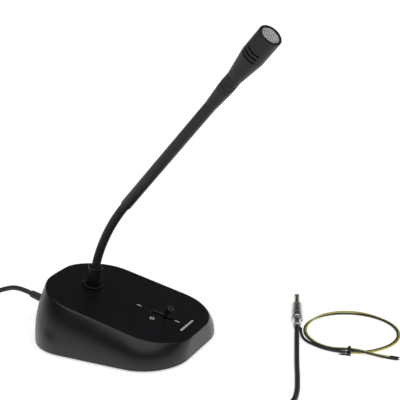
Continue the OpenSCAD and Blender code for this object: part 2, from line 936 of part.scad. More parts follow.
module wire_shrinks() {
    color(black)
    on_desk()
        for (side = [-1, 1])
            end_at(side)
                translate([0, 0, 0.2])
                    cylinder(d = wire_d + 0.6, h = shrink_len, $fn = 32);
}

module wire_ends() {
    color("silver")
    on_desk()
        union() {
            for (side = [-1, 1])
                end_at(side)
                    translate([0, 0, shrink_len + 0.25])
                        cylinder(d = 0.9, h = bare_len, $fn = 16);
            end_at(1)
                translate([0, 0, shrink_len + 0.25])
                    rotate([-9, 0, 0])
                        cylinder(d = 0.7, h = bare_len, $fn = 16);
        }
}

base_shell();
bottom_plate();
base_mat();
bottom_screws();
ballast();
ballast_screws();
switch_board();
board_screws();
switch_body();
switch_lever();
lever_pin();
switch_marks();
cord_clamp();
clamp_screws();
inner_leads();
neck_flange();
neck_socket();
neck_nut();
for (i = [0:neck_joints])
    neck_link(i);
sleeve_tube();
taper_joint();
head_coupling();
coupling_band();
head_shell();
capsule_seat();
capsule();
foam_disc();
grille_mesh();
grille_ring();
strain_relief();
cord_near();
cord_coil();
coil_tie();
cord_far();
plug_tail();
plug_barrel();
plug_sleeve();
plug_insulator();
plug_tip();
pair_lead();
wire_black();
wire_yellow();
wire_tie();
wire_shrinks();
wire_ends();
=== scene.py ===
import json
import bmesh
import bpy
import numpy as np
from mathutils import Matrix


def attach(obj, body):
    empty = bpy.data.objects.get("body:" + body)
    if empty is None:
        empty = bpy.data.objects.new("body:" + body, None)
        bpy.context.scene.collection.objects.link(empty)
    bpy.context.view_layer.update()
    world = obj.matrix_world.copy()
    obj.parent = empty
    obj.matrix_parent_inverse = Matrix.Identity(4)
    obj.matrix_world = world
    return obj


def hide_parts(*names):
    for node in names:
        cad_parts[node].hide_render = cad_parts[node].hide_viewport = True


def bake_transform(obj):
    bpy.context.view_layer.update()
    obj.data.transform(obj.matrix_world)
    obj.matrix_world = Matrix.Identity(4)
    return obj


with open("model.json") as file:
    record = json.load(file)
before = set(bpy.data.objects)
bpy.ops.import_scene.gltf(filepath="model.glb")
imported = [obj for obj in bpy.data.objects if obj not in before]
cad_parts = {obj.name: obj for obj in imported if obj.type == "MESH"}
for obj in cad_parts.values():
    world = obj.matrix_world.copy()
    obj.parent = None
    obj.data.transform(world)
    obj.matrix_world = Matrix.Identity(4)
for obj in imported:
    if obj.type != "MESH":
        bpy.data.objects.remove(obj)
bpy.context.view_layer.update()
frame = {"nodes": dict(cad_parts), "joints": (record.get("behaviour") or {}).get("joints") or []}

mm = 0.001
print("frame loaded:", len(frame["nodes"]), "nodes")


# shapes as grids of points: rows run along a profile or a path, columns run around it

def lerp(a, b, t):
    return a + (b - a) * t


def easeStep(x):  # 0 below 0, 1 above 1, and x*x*(3 - 2x) between
    x = np.clip(x, 0, 1)
    return x * x * (3 - 2 * x)


def unitRows(v):
    return v / np.linalg.norm(v, axis=-1, keepdims=True)


def turnX(degrees):  # matrix that leans local z back from the desk's z, about X
    a = np.radians(degrees)
    return np.array([[1, 0, 0], [0, np.cos(a), -np.sin(a)], [0, np.sin(a), np.cos(a)]])


def turnZ(degrees):
    a = np.radians(degrees)
    return np.array([[np.cos(a), -np.sin(a), 0], [np.sin(a), np.cos(a), 0], [0, 0, 1]])


def placed(points, spot):  # local points turned by the spot's matrix and moved to its origin
    turn, origin = spot
    return points @ turn.T + np.asarray(origin, float)


# camera: off the base's front left corner, about half a metre above the desk

cameraLook = {"place": (-0.91797, -0.51778, 0.47305), "right": (0.4260, -0.9047, 0.0),
              "upward": (0.2673, 0.1259, 0.9553), "lens": 99.0, "sensor": 36.0}


def makeCamera(look):
    data = bpy.data.cameras.new("deskCamera")
    data.lens, data.sensor_width = look["lens"], look["sensor"]
    data.clip_start, data.clip_end = 0.05, 50
    camera = bpy.data.objects.new("deskCamera", data)
    right = unitRows(np.array(look["right"]))
    back = unitRows(np.cross(right, look["upward"]))
    upward = np.cross(back, right)
    turn = Matrix([list(row) for row in np.stack([right, upward, back], axis=1)]).to_4x4()
    camera.matrix_world = Matrix.Translation(look["place"]) @ turn
    bpy.context.scene.collection.objects.link(camera)
    bpy.context.scene.camera = camera


makeCamera(cameraLook)
print("camera placed")


# corner-rounded profile: each corner (r, z, round) becomes a short quadratic curve that starts and ends
# "round" away from the corner along its two sides, and never past the middle of a side
def roundProfile(corners, steps=5, closed=False):
    p = np.array([c[:2] for c in corners], float)
    cut = np.array([c[2] if len(c) > 2 else 0 for c in corners], float)
    share = np.linspace(0, 1, steps)[:, None]
    rows = []
    for i in range(len(p)):
        last, after = p[i - 1], p[(i + 1) % len(p)]
        if cut[i] <= 0 or (not closed and i in (0, len(p) - 1)):
            rows.append(p[i:i + 1])
            continue
        a = p[i] + (last - p[i]) * min(0.49, cut[i] / max(np.linalg.norm(last - p[i]), 1e-9))
        b = p[i] + (after - p[i]) * min(0.49, cut[i] / max(np.linalg.norm(after - p[i]), 1e-9))
        rows.append((1 - share) ** 2 * a + 2 * share * (1 - share) * p[i] + share ** 2 * b)
    return np.concatenate(rows)


# turned shape: point (r, z) of the profile goes to (r cos a, r sin a, z) for every angle a
def latheGrid(profile, sides=96):
    a = 2 * np.pi * np.arange(sides) / sides
    r, z = profile[:, :1], profile[:, 1:2]
    return np.stack([r * np.cos(a), r * np.sin(a), z + 0 * a], axis=-1)


# rectangle with round corners: points equally spaced along it, from the middle of its +X side towards +Y;
# a quarter is a straight part, a quarter circle and a straight part, and the other three mirror it
def roundRect(width, length, radius, count):
    radius = max(min(radius, width / 2, length / 2), 1e-6)
    sideX, sideY = width / 2 - radius, length / 2 - radius
    quarter = sideX + sideY + radius * np.pi / 2
    s = 4 * np.arange(count) / count
    q = np.floor(s).astype(int)
    f = (s - q) * quarter
    f = np.where(q % 2 == 1, quarter - f, f)
    a = np.clip((f - sideY) / radius, 0, np.pi / 2)
    x = sideX + radius * np.cos(a) - np.clip(f - sideY - radius * np.pi / 2, 0, None)
    y = np.clip(f, 0, sideY) + radius * np.sin(a)
    signX = np.where((q == 1) | (q == 2), -1, 1)
    signY = np.where(q >= 2, -1, 1)
    return np.stack([signX * x, signY * y], axis=-1)


def ringAt(flat, z):  # an outline at height z
    return np.column_stack([flat, np.full(len(flat), float(z))])


# smooth curve through control points: a cubic between each two whose slopes come from their neighbours,
# then points at equal steps along its length
def smoothPath(points, step):
    p = np.asarray(points, float)
    p = np.concatenate([2 * p[:1] - p[1:2], p, 2 * p[-1:] - p[-2:-1]])
    t = (np.arange(12) / 12)[None, :, None]
    a, b, c, d = p[:-3, None], p[1:-2, None], p[2:-1, None], p[3:, None]
    fine = 0.5 * (2 * b + (c - a) * t + (2 * a - 5 * b + 4 * c - d) * t ** 2
                  + (3 * b - a - 3 * c + d) * t ** 3)
    fine = np.concatenate([fine.reshape(-1, 3), p[-2:-1]])
    return evenPath(fine, step)


def evenPath(points, step):
    run = pathRun(points)
    s = np.linspace(0, run[-1], max(2, int(round(run[-1] / step)) + 1))
    return np.stack([np.interp(s, run, points[:, k]) for k in range(3)], axis=-1)


def pathRun(points):  # length along a path up to each point
    return np.concatenate([[0], np.cumsum(np.linalg.norm(np.diff(points, axis=0), axis=1))])


# swept tube: around each path point a circle of radius r, square to the path's heading h;
# its two directions are h x z and (h x z) x h, and both ends close on their middle point
def sweepGrid(path, radius, sides=16, roundEnd=0.25):
    h = unitRows(np.gradient(path, axis=0))
    side = unitRows(np.cross(h, [0, 0, 1.0]))
    up = np.cross(side, h)
    r = np.broadcast_to(np.asarray(radius, float), (len(path),)).copy()
    a = 2 * np.pi * np.arange(sides) / sides
    tail, nose = r[0] * roundEnd, r[-1] * roundEnd
    centre = np.concatenate([path[:1], path[:1], path[:1] + h[:1] * tail, path[1:-1],
                             path[-1:] - h[-1:] * nose, path[-1:], path[-1:]])
    r = np.concatenate([[0, r[0] - tail, r[0]], r[1:-1], [r[-1], r[-1] - nose, 0]])
    side = np.concatenate([side[:1]] * 2 + [side] + [side[-1:]] * 2)
    up = np.concatenate([up[:1]] * 2 + [up] + [up[-1:]] * 2)
    around = np.cos(a)[None, :, None] * side[:, None] + np.sin(a)[None, :, None] * up[:, None]
    return centre[:, None] + r[:, None, None] * around


# four corners of every cell of a grid, with each corner's place around (0 to 1) and along (metres)
def gridPart(points, wrapRows=False, wrapCols=True, keep=None, along=None):
    rows, cols = points.shape[:2]
    r = np.arange(rows if wrapRows else rows - 1)
    c = np.arange(cols if wrapCols else cols - 1)
    r, c = [x.ravel() for x in np.meshgrid(r, c, indexing="ij")]
    if keep is not None:
        chosen = keep[r, c]
        r, c = r[chosen], c[chosen]
    r2, c2 = (r + 1) % rows, (c + 1) % cols
    faces = np.stack([r * cols + c, r * cols + c2, r2 * cols + c2, r2 * cols + c], axis=-1)
    if along is None:
        step = np.linalg.norm(np.diff(np.concatenate([points, points[:1]]), axis=0), axis=-1).mean(1)
        along = np.concatenate([[0], np.cumsum(step)]) * mm
    else:
        along = np.append(along, along[-1]) * mm
    around = np.arange(cols + 1) / cols
    corners = ((c, r), (c + 1, r), (c + 1, r + 1), (c, r + 1))
    uv = np.stack([np.stack([around[i], along[j]], -1) for i, j in corners], axis=1)
    return points.reshape(-1, 3), faces, uv


# one object from several parts: doubles merged, empty faces dropped, faces turned outwards
def makePiece(name, parts, finish, body=None, replaces=(), sharp=32.0):
    verts = np.concatenate([p[0] for p in parts]) * mm
    shift = np.cumsum([0] + [len(p[0]) for p in parts[:-1]])
    faces = np.concatenate([p[1] + s for p, s in zip(parts, shift)])
    uv = np.concatenate([p[2] for p in parts]).reshape(-1, 2)
    mesh = bpy.data.meshes.new(name)
    mesh.from_pydata(verts.tolist(), [], faces.tolist())
    mesh.uv_layers.new(name="alongAround").data.foreach_set("uv", uv.astype(np.float32).ravel())
    work = bmesh.new()
    work.from_mesh(mesh)
    bmesh.ops.remove_doubles(work, verts=work.verts, dist=1.5e-6)
    bmesh.ops.dissolve_degenerate(work, edges=work.edges, dist=1e-7)
    bmesh.ops.recalc_face_normals(work, faces=work.faces)
    work.to_mesh(mesh)
    work.free()
    mesh.shade_smooth()
    mesh.set_sharp_from_angle(angle=np.radians(sharp))
    mesh.materials.append(finish)
    piece = bpy.data.objects.new(name, mesh)
    bpy.context.scene.collection.objects.link(piece)
    if body:
        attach(piece, body)
    if replaces:
        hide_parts(*replaces)
    return piece


def turnedPiece(name, corners, spot, finish, body, replaces=(), sides=96, closed=False):
    grid = placed(latheGrid(roundProfile(corners, closed=closed), sides), spot)
    return makePiece(name, [gridPart(grid, wrapRows=closed)], finish, body, replaces)


# finishes: every one has slow colour change, fine relief and uneven gloss; grain, cloud and lines are in
# features per metre, and relief is in metres

finishLooks = {
    "housingPlastic": {"dark": (0.003, 0.003, 0.0042), "light": (0.006, 0.006, 0.009), "rough": (0.29, 0.38),
                       "grain": 2600, "relief": 0.00003, "cloud": 30},
    "innerPlastic": {"dark": (0.012, 0.012, 0.013), "light": (0.022, 0.022, 0.024), "rough": (0.4, 0.6),
                     "grain": 1500, "relief": 0.00004, "cloud": 60},
    "leverPlastic": {"dark": (0.004, 0.004, 0.0045), "light": (0.008, 0.008, 0.009), "rough": (0.26, 0.38),
                     "grain": 3200, "relief": 0.00002, "cloud": 200},
    "paintedTube": {"dark": (0.0045, 0.0045, 0.0047), "light": (0.0085, 0.0085, 0.0088),
                    "rough": (0.34, 0.46), "grain": 2400, "relief": 0.00002, "cloud": 40, "shine": 0.3},
    "paintedFittings": {"dark": (0.0035, 0.0035, 0.0037), "light": (0.0075, 0.0075, 0.0078),
                        "rough": (0.3, 0.42), "grain": 2400, "relief": 0.00002, "cloud": 90, "shine": 0.3},
    "woundSteel": {"dark": (0.0025, 0.0025, 0.0027), "light": (0.007, 0.007, 0.0073), "rough": (0.3, 0.46),
                   "grain": 3000, "relief": 0.00002, "cloud": 160, "shine": 0.28},
    "matRubber": {"dark": (0.014, 0.014, 0.014), "light": (0.028, 0.028, 0.028), "rough": (0.7, 0.9),
                  "grain": 900, "relief": 0.00012, "cloud": 50},
    "sealRubber": {"dark": (0.012, 0.012, 0.012), "light": (0.022, 0.022, 0.022), "rough": (0.55, 0.75),
                   "grain": 1800, "relief": 0.00004, "cloud": 120},
    "cordJacket": {"dark": (0.014, 0.014, 0.0145), "light": (0.023, 0.023, 0.024), "rough": (0.42, 0.58),
                   "grain": 1700, "relief": 0.00004, "cloud": 70},
    "strapCloth": {"dark": (0.010, 0.010, 0.011), "light": (0.030, 0.030, 0.032), "rough": (0.8, 0.95),
                   "grain": 1400, "relief": 0.0002, "cloud": 100},
    "blackWire": {"dark": (0.012, 0.012, 0.013), "light": (0.03, 0.03, 0.031), "rough": (0.3, 0.45),
                  "grain": 2200, "relief": 0.00002, "cloud": 90},
    "yellowWire": {"dark": (0.42, 0.36, 0.045), "light": (0.60, 0.58, 0.13), "rough": (0.3, 0.45),
                   "grain": 2200, "relief": 0.00002, "cloud": 28},
    "shrinkSleeve": {"dark": (0.009, 0.009, 0.009), "light": (0.02, 0.02, 0.02), "rough": (0.38, 0.6),
                     "grain": 1500, "relief": 0.00005, "cloud": 150},
    "foam": {"dark": (0.006, 0.006, 0.006), "light": (0.02, 0.02, 0.02), "rough": (0.9, 1.0),
             "grain": 1100, "relief": 0.0005, "cloud": 200},
    "boardMask": {"dark": (0.006, 0.05, 0.02), "light": (0.012, 0.085, 0.035), "rough": (0.25, 0.4),
                  "grain": 700, "relief": 0.00003, "cloud": 110},
    "whitePrint": {"dark": (0.66, 0.66, 0.65), "light": (0.86, 0.86, 0.84), "rough": (0.5, 0.7),
                   "grain": 3500, "relief": 0.00002, "cloud": 900},
    "plainSteel": {"dark": (0.36, 0.36, 0.37), "light": (0.52, 0.52, 0.53), "rough": (0.3, 0.5),
                   "grain": 1300, "relief": 0.00003, "cloud": 35, "metal": 1.0},
    "screwSteel": {"dark": (0.33, 0.33, 0.335), "light": (0.50, 0.49, 0.47), "rough": (0.25, 0.42),
                   "grain": 2500, "relief": 0.00002, "cloud": 200, "metal": 1.0},
    "castIron": {"dark": (0.05, 0.05, 0.052), "light": (0.1, 0.1, 0.1), "rough": (0.5, 0.7),
                 "grain": 600, "relief": 0.0002, "cloud": 45, "metal": 0.3},
    "capsuleNickel": {"dark": (0.5, 0.49, 0.46), "light": (0.66, 0.65, 0.62), "rough": (0.2, 0.34),
                      "grain": 2400, "relief": 0.00001, "cloud": 150, "metal": 1.0},
    "grilleWire": {"dark": (0.74, 0.74, 0.73), "light": (0.90, 0.90, 0.89), "rough": (0.3, 0.44),
                   "grain": 2600, "relief": 0.00001, "cloud": 220, "metal": 1.0},
    "tinnedWire": {"dark": (0.55, 0.55, 0.54), "light": (0.75, 0.75, 0.74), "rough": (0.25, 0.4),
                   "grain": 3000, "relief": 0.00002, "cloud": 500, "metal": 1.0},
    "plugShell": {"dark": (0.50, 0.50, 0.49), "light": (0.68, 0.68, 0.67), "rough": (0.18, 0.32),
                  "lines": 9000, "relief": 0.000008, "cloud": 120, "metal": 1.0},
    "plugNickel": {"dark": (0.50, 0.44, 0.36), "light": (0.66, 0.58, 0.48), "rough": (0.14, 0.26),
                   "lines": 12000, "relief": 0.000005, "cloud": 160, "metal": 1.0},
    "ringPlastic": {"dark": (0.01, 0.01, 0.01), "light": (0.018, 0.018, 0.018), "rough": (0.25, 0.4),
                    "grain": 3000, "relief": 0.00001, "cloud": 300},
}


def addNode(tree, kind, **values):  # a value goes to the socket of that name, or else to the node's setting
    node = tree.nodes.new(kind)
    for key, value in values.items():
        if key in node.inputs:
            node.inputs[key].default_value = value
        else:
            setattr(node, key, value)
    return node


def mapNode(tree, fromRange, toRange, **values):
    node = addNode(tree, "ShaderNodeMapRange", **values)
    for socket, value in zip(("From Min", "From Max", "To Min", "To Max"), (*fromRange, *toRange)):
        node.inputs[socket].default_value = value
    return node


def colourSocket(sockets, name):
    return [s for s in sockets if s.name == name and s.type == "RGBA"][0]


# colour goes from dark to light with a slow noise; gloss follows a middle noise; relief comes from a fine
# noise in the piece's own space, or from turning lines that run around it where "lines" is set
def makeFinish(name, look):
    material = bpy.data.materials.new(name)
    material.use_nodes = True
    tree = material.node_tree
    shader = tree.nodes["Principled BSDF"]
    shader.inputs["Metallic"].default_value = look.get("metal", 0.0)
    shader.inputs["Specular IOR Level"].default_value = look.get("shine", 0.5)
    coord = addNode(tree, "ShaderNodeTexCoord")
    cloud = addNode(tree, "ShaderNodeTexNoise", Scale=look["cloud"], Detail=5.0, Roughness=0.6)
    tree.links.new(coord.outputs["Object"], cloud.inputs["Vector"])
    spread = mapNode(tree, (0.3, 0.7), (0.0, 1.0))
    tree.links.new(cloud.outputs["Fac"], spread.inputs["Value"])
    colour = addNode(tree, "ShaderNodeMix", data_type="RGBA")
    for socket, tone in (("A", look["dark"]), ("B", look["light"])):
        colourSocket(colour.inputs, socket).default_value = (*tone, 1)
    tree.links.new(spread.outputs["Result"], colour.inputs["Factor"])
    tree.links.new(colourSocket(colour.outputs, "Result"), shader.inputs["Base Color"])
    fine = addNode(tree, "ShaderNodeTexNoise", Detail=3.0, Roughness=0.55)
    if "lines" in look:
        uvPlace = addNode(tree, "ShaderNodeUVMap", uv_map="alongAround")
        stretch = addNode(tree, "ShaderNodeMapping")
        stretch.inputs["Scale"].default_value = (3.0, look["lines"], 1.0)
        tree.links.new(uvPlace.outputs["UV"], stretch.inputs["Vector"])
        tree.links.new(stretch.outputs["Vector"], fine.inputs["Vector"])
        fine.inputs["Scale"].default_value = 1.0
    else:
        tree.links.new(coord.outputs["Object"], fine.inputs["Vector"])
        fine.inputs["Scale"].default_value = look["grain"]
    patch = addNode(tree, "ShaderNodeTexNoise", Scale=look["cloud"] * 4.0, Detail=4.0, Roughness=0.65)
    tree.links.new(coord.outputs["Object"], patch.inputs["Vector"])
    both = addNode(tree, "ShaderNodeMath", operation="ADD")
    tree.links.new(patch.outputs["Fac"], both.inputs[0])
    tree.links.new(fine.outputs["Fac"], both.inputs[1])
    gloss = mapNode(tree, (0.7, 1.3), look["rough"])
    tree.links.new(both.outputs["Value"], gloss.inputs["Value"])
    tree.links.new(gloss.outputs["Result"], shader.inputs["Roughness"])
    bump = addNode(tree, "ShaderNodeBump", Strength=0.6, Distance=look["relief"])
    tree.links.new(fine.outputs["Fac"], bump.inputs["Height"])
    tree.links.new(bump.outputs["Normal"], shader.inputs["Normal"])
    return material


finishes = {name: makeFinish(name, look) for name, look in finishLooks.items()}
print("finishes made:", len(finishes))


# cord: from inside the back wall, out of its guard, down to the desk, through a tied coil and to the plug

cordLook = {
    "diameter": 5.2, "exitY": 83.0, "exitZ": 19.0, "exitTilt": 15.5,
    "coilAt": (-130.0, 125.0), "lanes": (34.2, 29.0, 23.8), "turns": 5.25, "step": 2.2, "lieHeight": 2.64,
    "tieAngle": -55.0, "tieLift": 0.85,
}


def exitPoint(s):  # a point s along the cord's way out of the back wall
    a = np.radians(cordLook["exitTilt"])
    return [0, cordLook["exitY"] + s * np.cos(a), cordLook["exitZ"] + s * np.sin(a)]


lie = cordLook["lieHeight"]
nearRoute = [exitPoint(-9), exitPoint(12), exitPoint(33), [0, 123, 29.8], [0, 131, 30.8], [0, 139, 30.2],
             [-2, 148, 27.8], [-6, 158, 24], [-13, 168, 18.5], [-23, 176, 13], [-36, 181, 8],
             [-51, 181.5, 4.4], [-67, 178, 2.9], [-83, 172, lie], [-98, 165.5, lie], [-113, 161, lie]]
farRoute = [[-165, 112, 6.8], [-168, 96, 4.8], [-174, 78, 3.3], [-181, 60, 2.7], [-188, 42, lie],
            [-192, 24, lie], [-191, 5, lie], [-184, -14, lie], [-174, -34, lie], [-158, -68, lie],
            [-142, -102, lie], [-126, -136, lie], [-110, -170, lie], [-99, -190, lie], [-86, -204, lie],
            [-68, -210, lie], [-48, -207, lie], [-22, -198, lie], [5, -187.5, lie], [30, -178, 2.8],
            [52, -169.8, 3.6], [66, -164.6, 4.9], [76, -160.9, 5.9], [84, -158, 6.25]]


# coil: angle and turn count rise together; the radius steps from lane to lane with a short ease inside a
# turn, in on the lower layer and out on the upper one, and the height eases up between the two layers
def coilPath(look):
    outer, middle, inner = look["lanes"]
    turn = np.linspace(0, look["turns"], 190)
    angle = np.radians(90 + 360 * turn)
    radius = (outer + (middle - outer) * easeStep((turn - 0.72) / 0.28)
              + (inner - middle) * easeStep((turn - 1.72) / 0.28)
              + (middle - inner) * easeStep((turn - 3.27) / 0.23)
              + (outer - middle) * easeStep((turn - 4.27) / 0.23))
    lift = look["diameter"] * easeStep((turn - 2.5) / 0.22)
    off = (np.degrees(angle) - look["tieAngle"] + 180) % 360 - 180
    lift = lift + look["tieLift"] * easeStep(1 - (np.abs(off) - 9) / 28)  # the turns lie on the strap
    x = look["coilAt"][0] + radius * np.cos(angle)
    y = look["coilAt"][1] + radius * np.sin(angle)
    return np.stack([x, y, look["lieHeight"] + lift], axis=-1)


coilTurns = coilPath(cordLook)
cordPath = smoothPath(np.concatenate([nearRoute, coilTurns, farRoute]), cordLook["step"])
cordRun = pathRun(cordPath)
mainCord = makePiece("mainCord", [gridPart(sweepGrid(cordPath, cordLook["diameter"] / 2, 20))],
                     finishes["cordJacket"], "base", ("cord_near", "cord_coil", "cord_far"))
print("cord:", round(cordRun[-1]), "mm")


# strap around the coil's turns: a rounded band carried around the bundle's outline, its end lapped over

tieLook = {"width": 10.0, "thick": 0.8, "bundle": (15.9, 10.6), "corner": 3.0}


# strap: section corners (out, across) are carried a little more than once around a round-cornered outline,
# and the end rises by its own thickness to lap over the start
def strapGrid(look, count=120):
    w, h = look["bundle"]
    t, half = look["thick"], look["width"] / 2
    section = roundProfile([(0, -half, 0.2), (t, -half, 0.25), (t, half, 0.25), (0, half, 0.2)], 4,
                           closed=True)
    lap = 1.1
    s = np.linspace(0, lap, int(count * lap))
    flat = roundRect(w, h, look["corner"], count)
    wide = roundRect(w + 2, h + 2, look["corner"] + 1, count)
    out = unitRows(wide - flat)
    k = (s % 1) * count
    i, f = np.floor(k).astype(int) % count, (k % 1)[:, None]
    inner = flat[i] * (1 - f) + flat[(i + 1) % count] * f
    normal = unitRows(out[i] * (1 - f) + out[(i + 1) % count] * f)
    over = (t + 0.05) * easeStep((s - 0.93) / 0.07)[:, None]
    inner = inner + normal * over
    rows = [inner[:, None] + normal[:, None] * section[None, :, :1],
            np.broadcast_to(section[None, :, 1:2], (len(s), len(section), 1))]
    grid = np.concatenate(rows, axis=-1)
    first, last = [end.mean(1, keepdims=True) + 0 * end for end in (grid[:1], grid[-1:])]
    return np.concatenate([first, grid, last])


# the outline's x is across the turns, its y is up, and the strap's width runs along the turns
def makeCoilTie(look):
    grid = strapGrid(look)
    a = np.radians(cordLook["tieAngle"])
    outward, alongTurn = np.array([np.cos(a), np.sin(a), 0]), np.array([-np.sin(a), np.cos(a), 0])
    middle = np.array([*cordLook["coilAt"], 0]) + cordLook["lanes"][1] * outward
    lift = look["bundle"][1] / 2 + look["thick"] + 0.03
    frameRows = np.stack([outward, [0, 0, 1.0], alongTurn])
    part = gridPart(grid @ frameRows + middle + [0, 0, lift])
    return makePiece("coilTie", [part], finishes["strapCloth"], "base", ("coil_tie",))


coilTie = makeCoilTie(tieLook)
print("coil strap made")


# jack plug, lying on the desk with its tip away from the base

plugLook = {"at": (84.0, -158.0, 6.25), "turn": 20.4, "tailLen": 19.4, "tailR": 4.35, "barrelLen": 38.0,
            "barrelR": 6.25, "shaftR": 3.175, "shaftLen": 23.4, "ringLen": 1.2, "cordR": 2.6}


def onPlug(z):  # local z runs along the plug towards its tip
    a = np.radians(plugLook["turn"])
    ahead, left = np.array([np.cos(a), np.sin(a), 0]), np.array([-np.sin(a), np.cos(a), 0])
    return np.stack([[0, 0, -1.0], left, ahead], axis=1), np.array(plugLook["at"]) + z * ahead


def makePlug(look):
    tail, barrel, r, cord = look["tailLen"], look["barrelLen"], look["barrelR"], look["cordR"]
    t, s, shaft = look["tailR"], look["shaftR"], look["shaftLen"]
    sleeveZ, ringZ = tail + barrel, tail + barrel + shaft
    shell, nickel, black = finishes["plugShell"], finishes["plugNickel"], finishes["ringPlastic"]
    tailCorners = [(cord + 0.05, 0.1), (t - 0.5, 0.1, 0.25), (t, 0.75, 0.4), (t, 1.9), (t - 0.18, 2.1, 0.1),
                   (t - 0.18, 2.5, 0.1), (t, 2.7), (t, tail), (cord + 0.05, tail)]
    groove = [(r, 9.5), (r - 0.3, 9.65, 0.1), (r - 0.3, 9.95, 0.1), (r, 10.1, 0.05), (r, 12.1, 0.05),
              (r - 0.3, 12.25, 0.1), (r - 0.3, 12.55, 0.1), (r, 12.7)]
    barrelCorners = [(1.5, 0.05), (r - 1.0, 0.05, 0.4), (r, 0.85, 0.5), *groove, (r, barrel - 1.1, 0.5),
                     (r - 0.9, barrel, 0.5), (s + 0.9, barrel, 0.2), (s + 0.7, barrel - 0.6, 0.1),
                     (s, barrel - 0.6), (1.5, barrel - 0.6)]
    sleeveCorners = [(1.0, -0.55), (s - 0.02, -0.55), (s, 0.4), (s, shaft - 0.35, 0.3), (s - 0.3, shaft, 0.2),
                     (1.0, shaft)]
    ringCorners = [(1.0, 0.01), (s - 0.12, 0.01, 0.1), (s, 0.25, 0.15), (s, 0.95, 0.15),
                   (s - 0.12, 1.19, 0.1), (1.0, 1.19)]
    tipCorners = [(0, 0.01), (2.7, 0.01, 0.2), (2.95, 0.35, 0.2), (2.9, 0.9, 0.3), (2.2, 1.75, 0.6),
                  (2.2, 2.35, 0.5), (3.05, 3.6, 0.5), (2.85, 4.4, 0.5), (0.95, 6.35, 0.6), (0.45, 6.78, 0.3),
                  (0, 6.8)]
    return [
        turnedPiece("plugTail", tailCorners, onPlug(0), shell, "base", ("plug_tail",),
                    closed=True),
        turnedPiece("plugBarrel", barrelCorners, onPlug(tail), shell, "base", ("plug_barrel",),
                    closed=True),
        turnedPiece("plugSleeve", sleeveCorners, onPlug(sleeveZ), nickel, "base", ("plug_sleeve",),
                    closed=True),
        turnedPiece("plugInsulator", ringCorners, onPlug(ringZ), black, "base", ("plug_insulator",),
                    closed=True),
        turnedPiece("plugTip", tipCorners, onPlug(ringZ + look["ringLen"]), nickel, "base", ("plug_tip",)),
    ]


plugPieces = makePlug(plugLook)
print("plug made")


# control pair: a thin lead from the plug's tail, then two wires once around a loop, over their start and out

pairLook = {"at": (108.0, -210.0, 0.0), "turn": -64.8, "loopR": 48.5, "lead": 3.0, "wire": 2.0, "gap": 1.05,
            "step": 1.2, "shrinkR": 1.3, "shrinkLen": 9.0, "overlap": 1.5, "bareLen": 10.0, "strandR": 0.42,
            "forkR": 0.33, "forkTurn": -9.0}
leadRoute = [[-53.2, -0.2, 5.2], [-53.6, -5, 4.6], [-53.4, -11, 3.2], [-51.6, -19, 1.9], [-47.5, -27, 1.6],
             [-41.5, -34.2, 1.6], [-34.5, -41, 1.6], [-25.5, -46.6, 1.6], [-17, -50, 1.7], [-12.6, -51, 1.8]]
startRoute = [[-12.4, -51, 1.6], [-5, -51.3, 1.6], [3, -50.4, 1.1], [11, -48.4, 1.05], [19, -45.1, 1.05]]
tailRoute = [[-38, -30.4, 1.05], [-31.5, -36.9, 1.2], [-24, -42.2, 1.8], [-16.6, -45.6, 2.9],
             [-9, -48.4, 3.8], [0, -51.7, 3.8], [9, -55, 2.8], [18, -58.3, 1.7], [26, -61.2, 1.1],
             [31, -63, 1.05]]


def onDesk(points):
    return placed(np.asarray(points, float), (turnZ(pairLook["turn"]), pairLook["at"]))


# loop of the pair's middle: start, a circle from -55 to 210 degrees, and the crossing tail
def pairPath(look):
    a = np.radians(np.arange(-55, 210.1, 12.5))
    circle = np.stack([look["loopR"] * np.cos(a), look["loopR"] * np.sin(a), 0 * a + look["gap"]], axis=-1)
    return smoothPath(np.concatenate([startRoute, circle, tailRoute]), look["step"])


# one wire: beside the middle by the gap, on its own side; between 35 and 65 per cent of the way the two go
# round each other by half a turn, and over the last stretch they part for their ends
def wirePath(look, side):
    middle = pairPath(look)
    run = pathRun(middle)
    share = run / run[-1]
    h = unitRows(np.gradient(middle, axis=0))
    across = unitRows(np.cross(h, [0, 0, 1.0]))
    turn = np.pi * np.clip((share - 0.35) / 0.3, 0, 1)
    apart = look["gap"] + 0.6 * np.clip((share - 0.85) / 0.15, 0, 1) ** 2
    path = middle + across * (apart * side * np.cos(turn))[:, None]
    path[:, 2] += look["gap"] * (np.abs(np.sin(turn)) + side * np.sin(turn))
    return path


# bare end: three strands laid in a twist; the radius is r (1 + 0.13 cos(3a - 1.9z)) around the axis, which
# bends aside with the square of z and settles on the desk
def strandGrid(start, heading, length, radius, bend):
    z = np.linspace(0, length, 40)
    side = unitRows(np.cross(heading, [0, 0, 1.0]))
    path = start + z[:, None] * heading + (bend * (z / length) ** 2)[:, None] * side
    path[:, 2] = np.maximum(path[:, 2] - 0.25 * easeStep(z / length), radius * 1.15)
    grid = sweepGrid(path, radius, 18)
    middle = np.concatenate([path[:1], path[:1], path, path[-1:], path[-1:]])[:, None]
    a = 2 * np.pi * np.arange(18) / 18
    zz = np.concatenate([[0, 0], z, [length, length]])
    return middle + (grid - middle) * (1 + 0.13 * np.cos(3 * a[None] - 1.9 * zz[:, None]))[..., None]


